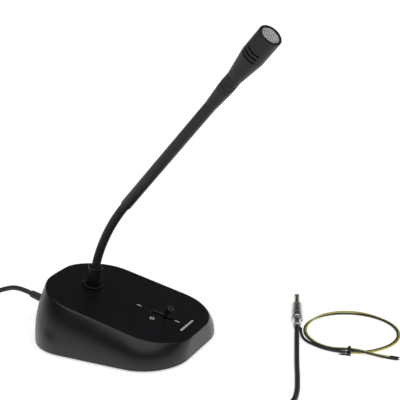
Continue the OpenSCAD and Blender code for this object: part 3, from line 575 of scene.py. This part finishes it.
def makePair(look):
    lead = onDesk(smoothPath(leadRoute, look["step"]))
    leadPart = gridPart(sweepGrid(lead, look["lead"] / 2, 16))
    leadPiece = makePiece("pairLead", [leadPart], finishes["cordJacket"], "base", ("pair_lead",))
    wires, paths, shrinkParts, endParts = [], [], [], []
    for side, name, node, slot in ((-1, "blackWire", "wire_black", "cord_jacket"),
                                   (1, "yellowWire", "wire_yellow", "yellow_jacket")):
        path = onDesk(wirePath(look, side))
        wires.append(makePiece(name, [gridPart(sweepGrid(path, look["wire"] / 2, 14))], finishes[name],
                               "base", (node,)))
        paths.append(path)
        heading = unitRows(path[-1] - path[-4])
        heading[2] = 0
        heading = unitRows(heading)
        s = np.linspace(0, look["shrinkLen"], 14)
        line = path[-1] + np.outer(s - look["overlap"], heading)
        line[:, 2] = np.maximum(line[:, 2], look["shrinkR"] + 0.02)
        bulge = look["shrinkR"] - 0.22 * easeStep((s - 6.0) / 1.6)
        shrinkParts.append(gridPart(sweepGrid(line, bulge, 20)))
        tip = line[-1] - 0.3 * heading
        endParts.append(gridPart(strandGrid(tip, heading, look["bareLen"], look["strandR"], -0.8 * side)))
        if side == 1:  # one strand of the yellow wire's end stands off the rest
            fork = unitRows(heading @ turnZ(look["forkTurn"]).T)
            endParts.append(gridPart(strandGrid(tip, fork, look["bareLen"] - 0.6, look["forkR"], -1.0)))
    shrinks = makePiece("shrinkSleeves", shrinkParts, finishes["shrinkSleeve"], "base", ("wire_shrinks",))
    ends = makePiece("bareEnds", endParts, finishes["tinnedWire"], "base", ("wire_ends",))
    return leadPiece, lead, wires, paths, shrinks, ends


pairLead, leadPath, pairWires, wirePaths, shrinkSleeves, bareEnds = makePair(pairLook)


# wire tie: the same strap shape, small, with a lock block and a cut tail

wireTieLook = {"width": 3.0, "thick": 0.7, "bundle": (8.0, 4.4), "corner": 1.6, "at": (-9.0, -49.6),
               "turn": -12.0, "lock": (4.2, 2.9, 3.4), "tail": (8.5, 2.6, 0.8), "tailTurn": 4.0}


# block with round corners and eased edges, as outlines stacked between two points
def boxGrid(width, depth, height, rounding, at):
    e, low = rounding * 0.6, rounding * 0.18
    rows = [ringAt(0 * roundRect(width, depth, rounding, 48), 0)]
    for inset, z in ((e, 0), (low, low), (0, e), (0, height - e), (low, height - low), (e, height)):
        flat = roundRect(width - 2 * inset, depth - 2 * inset, max(rounding - inset, 0.05), 48)
        rows.append(ringAt(flat, z))
    rows.append(ringAt(0 * roundRect(width, depth, rounding, 48), height))
    return np.stack(rows) + np.asarray(at, float)


def makeWireTie(look):
    grid = strapGrid(look, 80)
    lift = look["bundle"][1] / 2 + look["thick"] + 0.05
    grid = np.stack([grid[..., 2], grid[..., 0], grid[..., 1] + lift], axis=-1)
    side = -look["bundle"][0] / 2 - 2.1
    lock = boxGrid(*look["lock"], 0.6, (0, side, 0.1))
    length, width, thick = look["tail"]
    tail = boxGrid(length, width, thick, 0.3, (0, 0, 0))
    tail[..., 1] *= 1 - 0.85 * easeStep((-tail[..., 0] - 0.5) / (length / 2 - 0.5))
    tail = tail @ turnZ(look["tailTurn"]).T + [-1.6 - length / 2, side, 0.4]
    spot = (turnZ(look["turn"]), (*look["at"], 0))
    parts = [gridPart(onDesk(placed(g, spot))) for g in (grid, lock, tail)]
    return makePiece("wireTie", parts, finishes["ringPlastic"], "base", ("wire_tie",))


wireTie = makeWireTie(wireTieLook)


print("control pair:", round(pathRun(wirePaths[0])[-1]), "mm wires,",
      round(pathRun(leadPath)[-1]), "mm lead")


# housing: one closed skin, from the bottom rim up the swelling wall, over the edge, across the top, down the
# switch dish and slot, and back inside

housingLook = {
    "length": 170.0, "width": 147.0, "corner": 48.0, "topLength": 162.6, "topWidth": 120.6, "topCorner": 45.8,
    "slope": 12.8, "midY": -5.0, "midZ": 40.0, "swell": 2.4, "wall": 3.0, "matThick": 1.5, "edge": 0.035,
    "edgeInset": 1.4, "fullBack": 5.5, "switchU": -39.5, "dish": (8.4, 27.0), "slot": (5.4, 22.0),
    "around": 288, "posts": ((48, 44), (-48, 44), (44, -46), (-44, -46)), "floor": 3.7, "pillar": 2.5,
    "pillarAt": (16, 20), "boardDepth": 14.8,
}


def onTop(u, h=0.0, x=0.0):  # a place on the sloping top: u up the slope, h above it
    turn = turnX(housingLook["slope"])
    return turn, np.array([0, housingLook["midY"], housingLook["midZ"]]) + turn @ np.array([x, u, h])


# a fuller back: y grows by k * amount * (y / half length)^5 * (1 - (x / half width)^2) where y > 0
def fullBack(look, flat, k):
    x, y = (flat / np.abs(flat).max(axis=0)).T
    return flat + np.stack([0 * x, k * look["fullBack"] * np.clip(y, 0, 1) ** 5 * (1 - x * x)], axis=-1)


# wall outline at share t of its height: its size goes from the foot's to the top's with t to the swell power,
# and its plane tilts until it lies in the sloping top
def wallRing(look, t, inset=0.0):
    k = t ** look["swell"]
    slope = np.tan(np.radians(look["slope"]))
    tilt = np.degrees(np.arctan(t * slope))
    midY = look["midY"] * k
    plan = lerp(look["length"], look["topLength"] * np.cos(np.radians(look["slope"])), k) - 2 * inset
    flat = roundRect(lerp(look["width"], look["topWidth"], k) - 2 * inset, plan / np.cos(np.radians(tilt)),
                     lerp(look["corner"], look["topCorner"], k) - inset, look["around"])
    flat = fullBack(look, flat, k)
    top = look["midZ"] + (midY - look["midY"]) * slope
    return placed(ringAt(flat, 0), (turnX(tilt), (0, midY, lerp(look["matThick"], top, t))))


def topRing(look, size, corner, u, h, full=0.0):  # an outline lying in the sloping top
    return placed(ringAt(fullBack(look, roundRect(*size, corner, look["around"]), full), 0), onTop(u, h))


def makeHousing(look):
    rows = [wallRing(look, 0.0, 0.5), wallRing(look, 0.004, 0.12), wallRing(look, 0.014)]
    rows += [wallRing(look, t) for t in np.linspace(0.03, 1 - look["edge"], 44)]
    size = np.array([look["topWidth"], look["topLength"]])
    below, corner = rows[-1], topRing(look, size, look["topCorner"], 0, 0, 1.0)
    inset = look["edgeInset"]
    flat = topRing(look, size - 2 * inset, look["topCorner"] - inset, 0, 0, 1.0)
    rows += [(1 - q) ** 2 * below + 2 * q * (1 - q) * corner + q * q * flat
             for q in np.linspace(0, 1, 10)[1:]]
    dish, slot, u = np.array(look["dish"]), np.array(look["slot"]), look["switchU"]
    lip = topRing(look, dish + 0.7, (dish[0] + 0.7) / 2, u, 0)
    rows += [lerp(flat, lip, q) for q in np.linspace(0, 1, 16)[1:]]
    for share, depth in ((-0.06, 0.03), (0.0, 0.1), (0.05, 0.3), (0.1, 0.6), (0.2, 0.88), (0.4, 1.02),
                         (0.7, 1.08), (0.93, 1.1), (0.985, 1.16), (1.0, 1.3), (1.0, look["wall"])):
        ring = lerp(dish, slot, share)
        rows.append(topRing(look, ring, ring[0] / 2, u, -depth))
    inside = topRing(look, size - 2 * look["wall"] - 1.5, look["topCorner"] - 4, 0, -look["wall"], 1.0)
    rows += [lerp(rows[-1], inside, q) for q in (0.3, 0.65, 1.0)]
    rows += [wallRing(look, t, look["wall"]) for t in np.linspace(0.9, 0.0, 16)]
    return gridPart(np.stack(rows), wrapRows=True)


# posts under the top: cylinders with a blind bore in their foot
def postGrid(x, y, bottom, top, outer, bore):
    profile = roundProfile([(bore, bottom), (outer, bottom, 0.3), (outer, top), (0, top), (0, bottom + 10),
                            (bore, bottom + 10)])
    return latheGrid(np.concatenate([profile, profile[:1]]), 32) + np.array([x, y, 0])


def makePosts(look):
    rise = np.tan(np.radians(look["slope"]))
    parts = []
    for x, y in look["posts"]:
        top = look["midZ"] + (y - look["midY"]) * rise - look["wall"] - 0.5
        parts.append(gridPart(postGrid(x, y, look["floor"], top, 4.0, 1.4)))
    spanX, spanU = look["pillarAt"]
    for x in (-spanX, spanX):
        for u in (-spanU, spanU):
            spot = onTop(look["switchU"] + u, -look["boardDepth"], x)
            pillar = postGrid(0, 0, 0, look["boardDepth"] - look["wall"] + 0.1, look["pillar"], 0.9)
            parts.append(gridPart(placed(pillar, spot)))
    return makePiece("housingPosts", parts, finishes["innerPlastic"], "base", ())


makePiece("baseHousing", [makeHousing(housingLook)], finishes["housingPlastic"], "base", ("base_shell",),
          sharp=50)
makePosts(housingLook)
print("housing made")


# printed marks: a bar for ON at both ends of the lever's travel, a ring for OFF, and a plain dashed stripe

markLook = {"thick": 0.12, "bars": (-12.0, -56.5), "bar": (1.4, 5.2), "ringAt": (-13.7, -34.5),
            "ring": (1.55, 2.5), "stripeU": -67.5, "stripe": (28.0, 2.4), "dashes": 9}


def barGrid(width, length, spot, thick):  # thin raised ink with round corners
    corner = min(width, length) * 0.3
    rows = [ringAt(0 * roundRect(width, length, corner, 40), -0.02)]
    rows += [ringAt(roundRect(width, length, corner, 40), z) for z in (-0.02, thick * 0.8)]
    rows.append(ringAt(roundRect(width - 0.12, length - 0.12, corner, 40), thick))
    rows.append(ringAt(0 * roundRect(width, length, corner, 40), thick))
    return placed(np.stack(rows), spot)


def makeMarks(look):
    parts = [gridPart(barGrid(*look["bar"], onTop(u), look["thick"])) for u in look["bars"]]
    inner, outer = look["ring"]
    thick, (x, u) = look["thick"], look["ringAt"]
    ring = roundProfile([(inner, -0.02), (outer, -0.02), (outer, thick, 0.05), (inner, thick, 0.05)],
                        closed=True)
    parts.append(gridPart(placed(latheGrid(ring, 64), onTop(u, 0, x)), wrapRows=True))
    length, height = look["stripe"]
    pitch = length / look["dashes"]
    for i in range(look["dashes"]):
        x = (i + 0.5) * pitch - length / 2
        parts.append(gridPart(barGrid(pitch * 0.78, height, onTop(look["stripeU"], 0, x), thick)))
    return makePiece("printedMarks", parts, finishes["whitePrint"], "base", ("switch_marks",))


makeMarks(markLook)


# switch lever: outlines stacked along its lean, narrow at the slot and flared to a soft square tip

leverLook = {"drop": 7.0, "lean": 21.0, "sections": (  # width, length, corner and height of each outline
    (3.8, 3.2, 0.7, -1.0), (3.8, 3.2, 0.7, 6.5), (3.8, 3.3, 0.8, 8.2), (3.95, 3.5, 0.9, 10.2),
    (4.4, 4.1, 1.1, 12.2), (5.3, 5.2, 1.4, 14.4), (6.3, 6.3, 1.7, 16.4), (6.8, 6.8, 1.9, 17.6),
    (6.8, 6.8, 1.9, 18.5), (6.3, 6.3, 1.9, 19.3), (5.3, 5.3, 1.8, 19.8), (3.6, 3.6, 1.5, 20.05),
    (1.6, 1.6, 0.7, 20.1))}


def makeLever(look):
    turn, origin = onTop(housingLook["switchU"], -look["drop"])
    spot = (turn @ turnX(look["lean"]), origin)
    data = np.array(look["sections"])
    z = np.unique(np.concatenate([np.linspace(data[0, 3], data[-1, 3], 60), data[:, 3]]))
    rows = [ringAt(roundRect(*[np.interp(h, data[:, 3], data[:, k]) for k in range(3)], 64), h) for h in z]
    rows = [rows[0] * [0, 0, 1]] + rows + [rows[-1] * [0, 0, 1]]
    boss = roundProfile([(1.05, -1.9), (3.0, -1.9, 0.3), (3.0, 1.9, 0.3), (1.05, 1.9)], closed=True)
    bossGrid = latheGrid(boss, 64)[..., [2, 0, 1]]
    parts = [gridPart(placed(np.stack(rows), spot)), gridPart(placed(bossGrid, spot), wrapRows=True)]
    return makePiece("switchLever", parts, finishes["leverPlastic"], "lever", ("switch_lever",))


makeLever(leverLook)
print("marks and lever made")


# neck: foot ring and socket, then the wound tube in ten bending stretches

socketLook = {"u": 44.5, "height": 23.0, "neckR": 4.6, "shankR": 4.8, "footR": 6.0, "bodyR": 6.7, "rimR": 7.5}


def makeSocket(look):
    shank, h, neck = look["shankR"], look["height"], look["neckR"] + 0.1
    body, rim, foot = look["bodyR"], look["rimR"], look["footR"]
    paint, spot = finishes["paintedFittings"], onTop(look["u"])
    ringCorners = [(shank + 0.2, 0.0), (10.3, 0.0, 0.15), (10.7, 0.4, 0.3), (10.7, 2.1, 0.5),
                   (10.25, 2.8, 0.4), (9.7, 2.8, 0.3), (9.1, 2.2, 0.4), (8.6, 1.3, 0.3), (shank + 0.2, 1.3)]
    turnedPiece("footRing", ringCorners, spot, paint, "base", ("neck_flange",),
                closed=True, sides=128)
    socketCorners = [(2.6, -12), (shank - 0.5, -12, 0.2), (shank, -11.4, 0.2), (shank, 1.35),
                     (foot, 1.35, 0.1), (foot + 0.2, 3.0, 0.6), (body, h - 6, 1.5), (body, h - 3.7, 0.2),
                     (rim - 0.2, h - 3.2, 0.2), (rim, h - 2.7, 0.3), (rim, h - 0.7, 0.4), (rim - 0.7, h, 0.4),
                     (neck + 0.25, h, 0.15), (neck, h - 0.3, 0.15), (neck, 5), (2.6, 5)]
    turnedPiece("neckSocket", socketCorners, spot, paint, "base", ("neck_socket",),
                closed=True, sides=128)


makeSocket(socketLook)

neckJoints = [j for j in frame["joints"] if j["name"].startswith("neck_")]
neckJoints.sort(key=lambda j: j["pos_m"][2])
jointAt = np.array([j["pos_m"] for j in neckJoints]) / mm
woundLook = {"radius": 4.6, "bore": 1.9, "pitch": 2.05, "depth": 0.42, "sharp": 0.98, "perTurn": 10,
             "around": 56, "inSocket": 4.0, "inSleeve": 4.0, "turn": -23.2, "bend": 31.9}
half = np.linalg.norm(jointAt[1] - jointAt[0]) / 2
neckPlane = turnX(housingLook["slope"]) @ turnZ(woundLook["turn"])  # the plane that the neck bends in
headTurn = neckPlane @ turnX(woundLook["bend"])
acrossNeck, footDirection, headDirection = neckPlane[:, 0], neckPlane[:, 2], headTurn[:, 2]
linkDirection = np.concatenate([[footDirection], unitRows(np.diff(jointAt, axis=0)), [headDirection]])
linkMiddle = np.concatenate([jointAt[:1] - half * footDirection, jointAt + half * linkDirection[1:]])
stretches = len(jointAt)


# wound stretch: its middle line is the quadratic curve from one link's middle to the next with the joint as
# the pull point; the radius is R - d (1 - sqrt(1 - k*w*w)), with w from -1 to 1 once per winding and turning
# with the angle, and k a little under 1
def woundStretch(i, look, runStart):
    a, pull, b = linkMiddle[i], jointAt[i], linkMiddle[i + 1]
    count = int(2 * half / look["pitch"] * look["perTurn"])
    t = np.linspace(0, 1, count + 1)[:, None]
    line = (1 - t) ** 2 * a + 2 * t * (1 - t) * pull + t * t * b
    hidden = look["inSocket"] if i == 0 else 0  # the length inside the socket
    if i == 0:
        extra = np.linspace(hidden, 0, 18)[:-1, None]
        line = np.concatenate([a - extra * footDirection, line])
    if i == stretches - 1:
        extra = np.linspace(0, look["inSleeve"], 18)[1:, None]
        line = np.concatenate([line, b + extra * headDirection])
    run = pathRun(line)
    s = run + runStart - hidden
    h = unitRows(np.gradient(line, axis=0))
    out = np.cross(h, acrossNeck)
    angle = 2 * np.pi * np.arange(look["around"]) / look["around"]
    wind = 2 * ((s[:, None] / look["pitch"] - angle[None] / (2 * np.pi)) % 1) - 1
    radius = look["radius"] - look["depth"] * (1 - np.sqrt(1 - look["sharp"] * wind ** 2))
    around = np.cos(angle)[None, :, None] * acrossNeck + np.sin(angle)[None, :, None] * out[:, None]
    outer = line[:, None] + radius[..., None] * around
    inner = line[:, None] + look["bore"] * around
    grid = np.concatenate([outer, inner[::-1]])
    along = np.concatenate([s, s[::-1] - 3.0]) + 50
    return gridPart(grid, wrapRows=True, along=along), runStart + run[-1] - hidden


def makeNeck(look):
    runStart = 0.0
    for i in range(stretches):
        part, runStart = woundStretch(i, look, runStart)
        nodes = ["neck_link_%02d" % k for k in ((i,) if i < stretches - 1 else (i, i + 1))]
        piece = makePiece("woundNeck%d" % i, [part], finishes["woundSteel"], None, nodes,
                          sharp=60)
        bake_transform(piece)


makeNeck(woundLook)
print("neck made")


# sleeve, coupling and head, all turned about the sleeve's own axis

sleeveStart = linkMiddle[-1]
sleeveLook = {"radius": 5.6, "length": 164.0, "taper": 22.0, "coupling": 17.3, "couplingR": 7.25,
              "cone": 27.0, "headR": 11.15, "barrel": 29.8}


couplingStart = sleeveLook["length"] + sleeveLook["taper"]
headStart = couplingStart + sleeveLook["coupling"]
headTop = headStart + sleeveLook["cone"] + sleeveLook["barrel"]


def onSleeve(s):  # a place s along the sleeve's axis from its foot
    return headTurn, sleeveStart + s * headDirection


def makeSleeve(look):
    r, end, tube = look["radius"], look["length"], finishes["paintedTube"]
    tubeCorners = [(4.75, 0), (r - 0.55, 0, 0.3), (r, 0.6, 0.4), (r, end - 0.15, 0.1), (r - 0.1, end),
                   (4.75, end)]
    turnedPiece("sleeveTube", tubeCorners, onSleeve(0), tube, "head", ("sleeve_tube",),
                closed=True)
    c, length = look["couplingR"], look["taper"]
    taperCorners = [(2.5, -10), (4.55, -10), (4.7, -9.5), (4.7, 0.06), (r + 0.1, 0.06), (r + 0.22, 0.45, 0.2),
                    (r + 0.3, 2.0, 1.0), (c - 0.15, length - 1.4, 1.0), (c - 0.12, length - 0.2, 0.1),
                    (c - 0.3, length), (2.5, length)]
    turnedPiece("taperJoint", taperCorners, onSleeve(end), tube, "head", ("taper_joint",),
                closed=True)
    far = look["coupling"]
    couplingCorners = [(4, 0.05), (c - 0.4, 0.05, 0.15), (c, 0.5, 0.3), (c, 4.9, 0.2), (c - 0.45, 5.3, 0.15),
                       (c - 0.45, 10.7, 0.15), (c, 11.1, 0.2), (c, far - 0.4, 0.3), (c - 0.35, far, 0.15),
                       (4, far)]
    turnedPiece("headCoupling", couplingCorners, onSleeve(couplingStart), finishes["paintedFittings"], "head",
                ("head_coupling",), closed=True)
    rows = [(c - 0.4, 0)]
    for k in range(5):  # one rib per millimetre
        rows += [(c - 0.22, k + 0.08, 0.08), (c + 0.1, k + 0.38, 0.14), (c + 0.1, k + 0.62, 0.14),
                 (c - 0.22, k + 0.92, 0.08)]
    rows.append((c - 0.4, 5))
    turnedPiece("couplingBand", rows, onSleeve(couplingStart + 5.5), finishes["sealRubber"], "head",
                ("coupling_band",), closed=True)


makeSleeve(sleeveLook)

headLook = {"slots": (2.8, 7.0, 11.2), "slotHalf": 0.72, "middles": (16.875, 196.875), "halfAngle": 42.1875,
            "endHalf": 0.07, "sides": 384, "wall": 1.7}


# head skin: rows up the outside, over the rim and back down inside; around each sound slot the rows close in
# on its edges, z = middle -+ h with h falling like a half circle at both ends, and the cells inside are left
# out on both skins and joined by radial walls
def makeHead(look, sleeve):
    cone, r, c, barrel = sleeve["cone"], sleeve["headR"], sleeve["couplingR"], sleeve["barrel"]
    outline = roundProfile([(c - 0.1, 0.05), (c + 0.05, 0.3, 0.15), (c + 0.2, 0.8, 0.3),
                            (r - 0.28, cone - 0.6, 1.6), (r, cone + 1.6, 1.6), (r, cone + barrel - 1.7)], 9)
    cols = look["sides"]
    angle = 360 * np.arange(cols) / cols
    off = np.min([np.abs((angle - m + 180) % 360 - 180) for m in look["middles"]], axis=0)
    roundAngle = np.degrees(look["slotHalf"] / r)
    reach = np.clip((off - (look["halfAngle"] - roundAngle)) / roundAngle, 0, 1)
    gap = look["endHalf"] + (look["slotHalf"] - look["endHalf"]) * np.sqrt(1 - reach ** 2)
    zRows = [np.full(cols, z) for z in outline[:, 1] if z < cone + look["slots"][0] - 1.8]
    windowRows = []
    for slotZ in look["slots"]:
        zRows += [np.full(cols, cone + slotZ - 1.5), cone + slotZ - gap, cone + slotZ + gap]
        windowRows.append(len(zRows) - 2)
    zRows += [np.full(cols, z) for z in np.linspace(cone + look["slots"][-1] + 1.5, cone + barrel - 1.7, 12)]
    zRows = np.stack(zRows)
    radius = np.interp(zRows, outline[:, 1], outline[:, 0])
    top = cone + barrel
    inner = r - look["wall"] - 0.1
    rim = roundProfile([(r, top - 1.7), (r - 0.02, top - 1.0, 0.5), (r - 0.45, top - 0.25, 0.5),
                        (r - 1.1, top, 0.4), (r - 1.65, top - 0.12, 0.2), (inner, top - 0.6, 0.2),
                        (inner, top - 1.7)])[1:]
    thin = np.interp(zRows[::-1], [0, 3.0, cone, cone + 3], [3.6, 1.4, 1.9, look["wall"] + 0.1])
    a = np.radians(angle)
    rows = [np.stack([radius * np.cos(a), radius * np.sin(a), zRows], -1), latheGrid(rim, cols),
            np.stack([(radius[::-1] - thin) * np.cos(a), (radius[::-1] - thin) * np.sin(a), zRows[::-1]], -1)]
    grid = np.concatenate(rows)
    total = len(grid)
    keep = np.ones((total, cols), bool)
    inSlot = off < look["halfAngle"] - 1e-6
    atEnd = np.abs(off - look["halfAngle"]) < 1e-6
    cell = (inSlot | atEnd) & np.roll(inSlot, -1) | inSlot & np.roll(atEnd, -1)
    walls = []
    starts = np.where(cell & ~np.roll(cell, 1))[0]
    stops = (np.where(cell & ~np.roll(cell, -1))[0] + 1) % cols
    stops = np.array([min(stops, key=lambda e: (e - b) % cols) for b in starts])
    for low in windowRows:
        back = total - 1 - low  # the same height on the inner skin
        keep[low, cell] = False
        keep[back - 1, cell] = False
        c0 = np.where(cell)[0]
        c1 = (c0 + 1) % cols
        for near, far in ((low * cols, back * cols), ((low + 1) * cols, (back - 1) * cols)):
            walls.append(np.stack([near + c0, near + c1, far + c1, far + c0], -1))
        for edge in (starts, stops):
            walls.append(np.stack([low * cols + edge, (low + 1) * cols + edge,
                                   (back - 1) * cols + edge, back * cols + edge], -1))
    verts, faces, uv = gridPart(grid, wrapRows=True, keep=keep)
    walls = np.concatenate(walls)
    wallUv = np.zeros((len(walls), 4, 2))
    part = (placed(verts, onSleeve(headStart)), np.concatenate([faces, walls]), np.concatenate([uv, wallUv]))
    return makePiece("headShell", [part], finishes["paintedTube"], "head", ("head_shell",),
                     sharp=40)


makeHead(headLook, sleeveLook)

grilleLook = {"radius": 8.9, "pitch": 1.5, "wire": 0.37, "dome": 1.0, "height": -1.75}


# woven mesh: wires cross at the pitch, each over and under the next, z = A cos(pi x / p + pi j), and the
# whole cloth is raised by the dome times 1 - (distance / radius) squared; a fine edge ring holds its rim
def makeGrille(look):
    radius, pitch, rho = look["radius"], look["pitch"], look["wire"]
    spot = onSleeve(headTop + look["height"])
    j = np.arange(-int(radius / pitch), int(radius / pitch) + 1)
    level = j * pitch
    reach = np.sqrt(np.clip(radius ** 2 - level ** 2, 0.6, None))
    t = np.linspace(-1, 1, 121)
    x = reach[:, None] * t[None]
    y = level[:, None] + 0 * x
    sides = 6  # faces around one wire
    a = 2 * np.pi * np.arange(sides) / sides
    parts = []
    for flip in (0, 1):
        wave = np.cos(np.pi * x / pitch + np.pi * j[:, None] + np.pi * flip) * rho * 1.02
        z = wave + look["dome"] * (1 - (x ** 2 + y ** 2) / radius ** 2)
        ringR = np.where(np.abs(t) > 0.9999, 0.0, rho)[None, :, None]
        px = np.broadcast_to(x[..., None], x.shape + (sides,))
        py = y[..., None] + ringR * np.cos(a)
        pz = z[..., None] + ringR * np.sin(a)
        grid = np.stack([py, px, pz] if flip else [px, py, pz], axis=-1)
        parts += [gridPart(placed(wire, spot)) for wire in grid]
    inner, outer = radius - 0.35, radius + 0.02
    ring = roundProfile([(inner, -0.3), (outer, -0.3), (outer, 0.3), (inner, 0.3, 0.1)], closed=True)
    parts.append(gridPart(placed(latheGrid(ring, 128), spot), wrapRows=True))
    return makePiece("wovenGrille", parts, finishes["grilleWire"], "head", ("grille_mesh",),
                     sharp=80)


makeGrille(grilleLook)
rimCorners = [(8.7, 0.0), (9.28, 0.0), (9.28, 0.9, 0.1), (9.05, 1.05, 0.15), (8.75, 0.7, 0.15),
              (8.66, 0.3, 0.1)]
turnedPiece("grilleRing", rimCorners, onSleeve(headTop - 1.3), finishes["paintedFittings"], "head",
            ("grille_ring",), closed=True, sides=128)
print("head made")


# cord guard: a collar at the wall, then a smooth slim taper

guardLook = {"length": 33.0, "collarR": 4.75, "footR": 6.2, "tipR": 3.85, "boreR": 2.62}


def makeGuard(look):
    a = np.radians(90 - cordLook["exitTilt"])
    turn = np.array([[1, 0, 0], [0, np.cos(a), np.sin(a)], [0, -np.sin(a), np.cos(a)]])
    bore, collar, tip, end = look["boreR"], look["collarR"], look["tipR"], look["length"]
    corners = [(bore, -7), (look["footR"], -7), (look["footR"], -5), (collar, -5), (collar, 4, 3.0),
               (lerp(collar, tip, 0.55), 18, 8.0), (tip, end - 0.8, 0.6), (tip - 0.5, end, 0.4), (bore, end)]
    turnedPiece("cordGuard", corners, (turn, exitPoint(0)), finishes["cordJacket"], "base",
                ("strain_relief",), closed=True, sides=64)


makeGuard(guardLook)


# finishes for the carried-over parts

carriedFinishes = {
    "plainSteel": ("bottom_plate", "neck_nut"),
    "matRubber": ("base_mat",),
    "screwSteel": ("bottom_screws", "ballast_screws", "board_screws", "clamp_screws", "lever_pin"),
    "castIron": ("ballast",),
    "boardMask": ("switch_board",),
    "innerPlastic": ("switch_body", "cord_clamp"),
    "sealRubber": ("inner_leads", "capsule_seat"),
    "capsuleNickel": ("capsule",),
    "foam": ("foam_disc",),
}
for name, nodes in carriedFinishes.items():
    for node in nodes:
        carried = frame["nodes"][node]
        carried.data.materials.clear()
        carried.data.materials.append(finishes[name])
print("carried parts finished")


# floor, light and air

floorLook = {"half": 9.0, "drop": 0.0001, "tone": 0.85, "glow": 0.62, "rough": 0.85, "shine": 0.1}


def makeFloor(look):
    mesh = bpy.data.meshes.new("paleFloor")
    half, low = look["half"], -look["drop"]
    corners = [(-half, -half, low), (half, -half, low), (half, half, low), (-half, half, low)]
    mesh.from_pydata(corners, [], [(0, 1, 2, 3)])
    floor = bpy.data.objects.new("paleFloor", mesh)
    bpy.context.scene.collection.objects.link(floor)
    material = bpy.data.materials.new("paleSweep")
    material.use_nodes = True
    shader = material.node_tree.nodes["Principled BSDF"]
    shader.inputs["Base Color"].default_value = (look["tone"], look["tone"], look["tone"], 1)
    shader.inputs["Emission Color"].default_value = (1, 1, 1, 1)
    shader.inputs["Emission Strength"].default_value = look["glow"]  # keeps the desk pale under soft light
    shader.inputs["Roughness"].default_value = look["rough"]
    shader.inputs["Specular IOR Level"].default_value = look["shine"]
    mesh.materials.append(material)


lightLook = {"air": 0.035, "horizon": 0.8, "sun": 1.6, "sunSpread": 80.0, "lean": 14.0, "leanTo": -55.0}


# air: bright at the horizon, falling to dim above it with the height of the direction
def makeLight(look):
    world = bpy.data.worlds.new("paleAir")
    world.use_nodes = True
    tree = world.node_tree
    coord = addNode(tree, "ShaderNodeTexCoord")
    parts = addNode(tree, "ShaderNodeSeparateXYZ")
    fade = mapNode(tree, (0.05, 0.3), (look["horizon"], look["air"]), interpolation_type="SMOOTHSTEP")
    tree.links.new(coord.outputs["Generated"], parts.inputs["Vector"])
    tree.links.new(parts.outputs["Z"], fade.inputs["Value"])
    tree.links.new(fade.outputs["Result"], tree.nodes["Background"].inputs["Strength"])
    tree.nodes["Background"].inputs["Color"].default_value = (1, 1, 1, 1)
    bpy.context.scene.world = world
    data = bpy.data.lights.new("overhead", "SUN")
    data.energy, data.angle = look["sun"], np.radians(look["sunSpread"])
    overhead = bpy.data.objects.new("overhead", data)
    overhead.matrix_world = Matrix([list(r) for r in turnZ(look["leanTo"]) @ turnX(look["lean"])]).to_4x4()
    bpy.context.scene.collection.objects.link(overhead)


makeFloor(floorLook)
makeLight(lightLook)
bpy.context.scene.view_settings.view_transform = "Standard"
print("floor and light made")
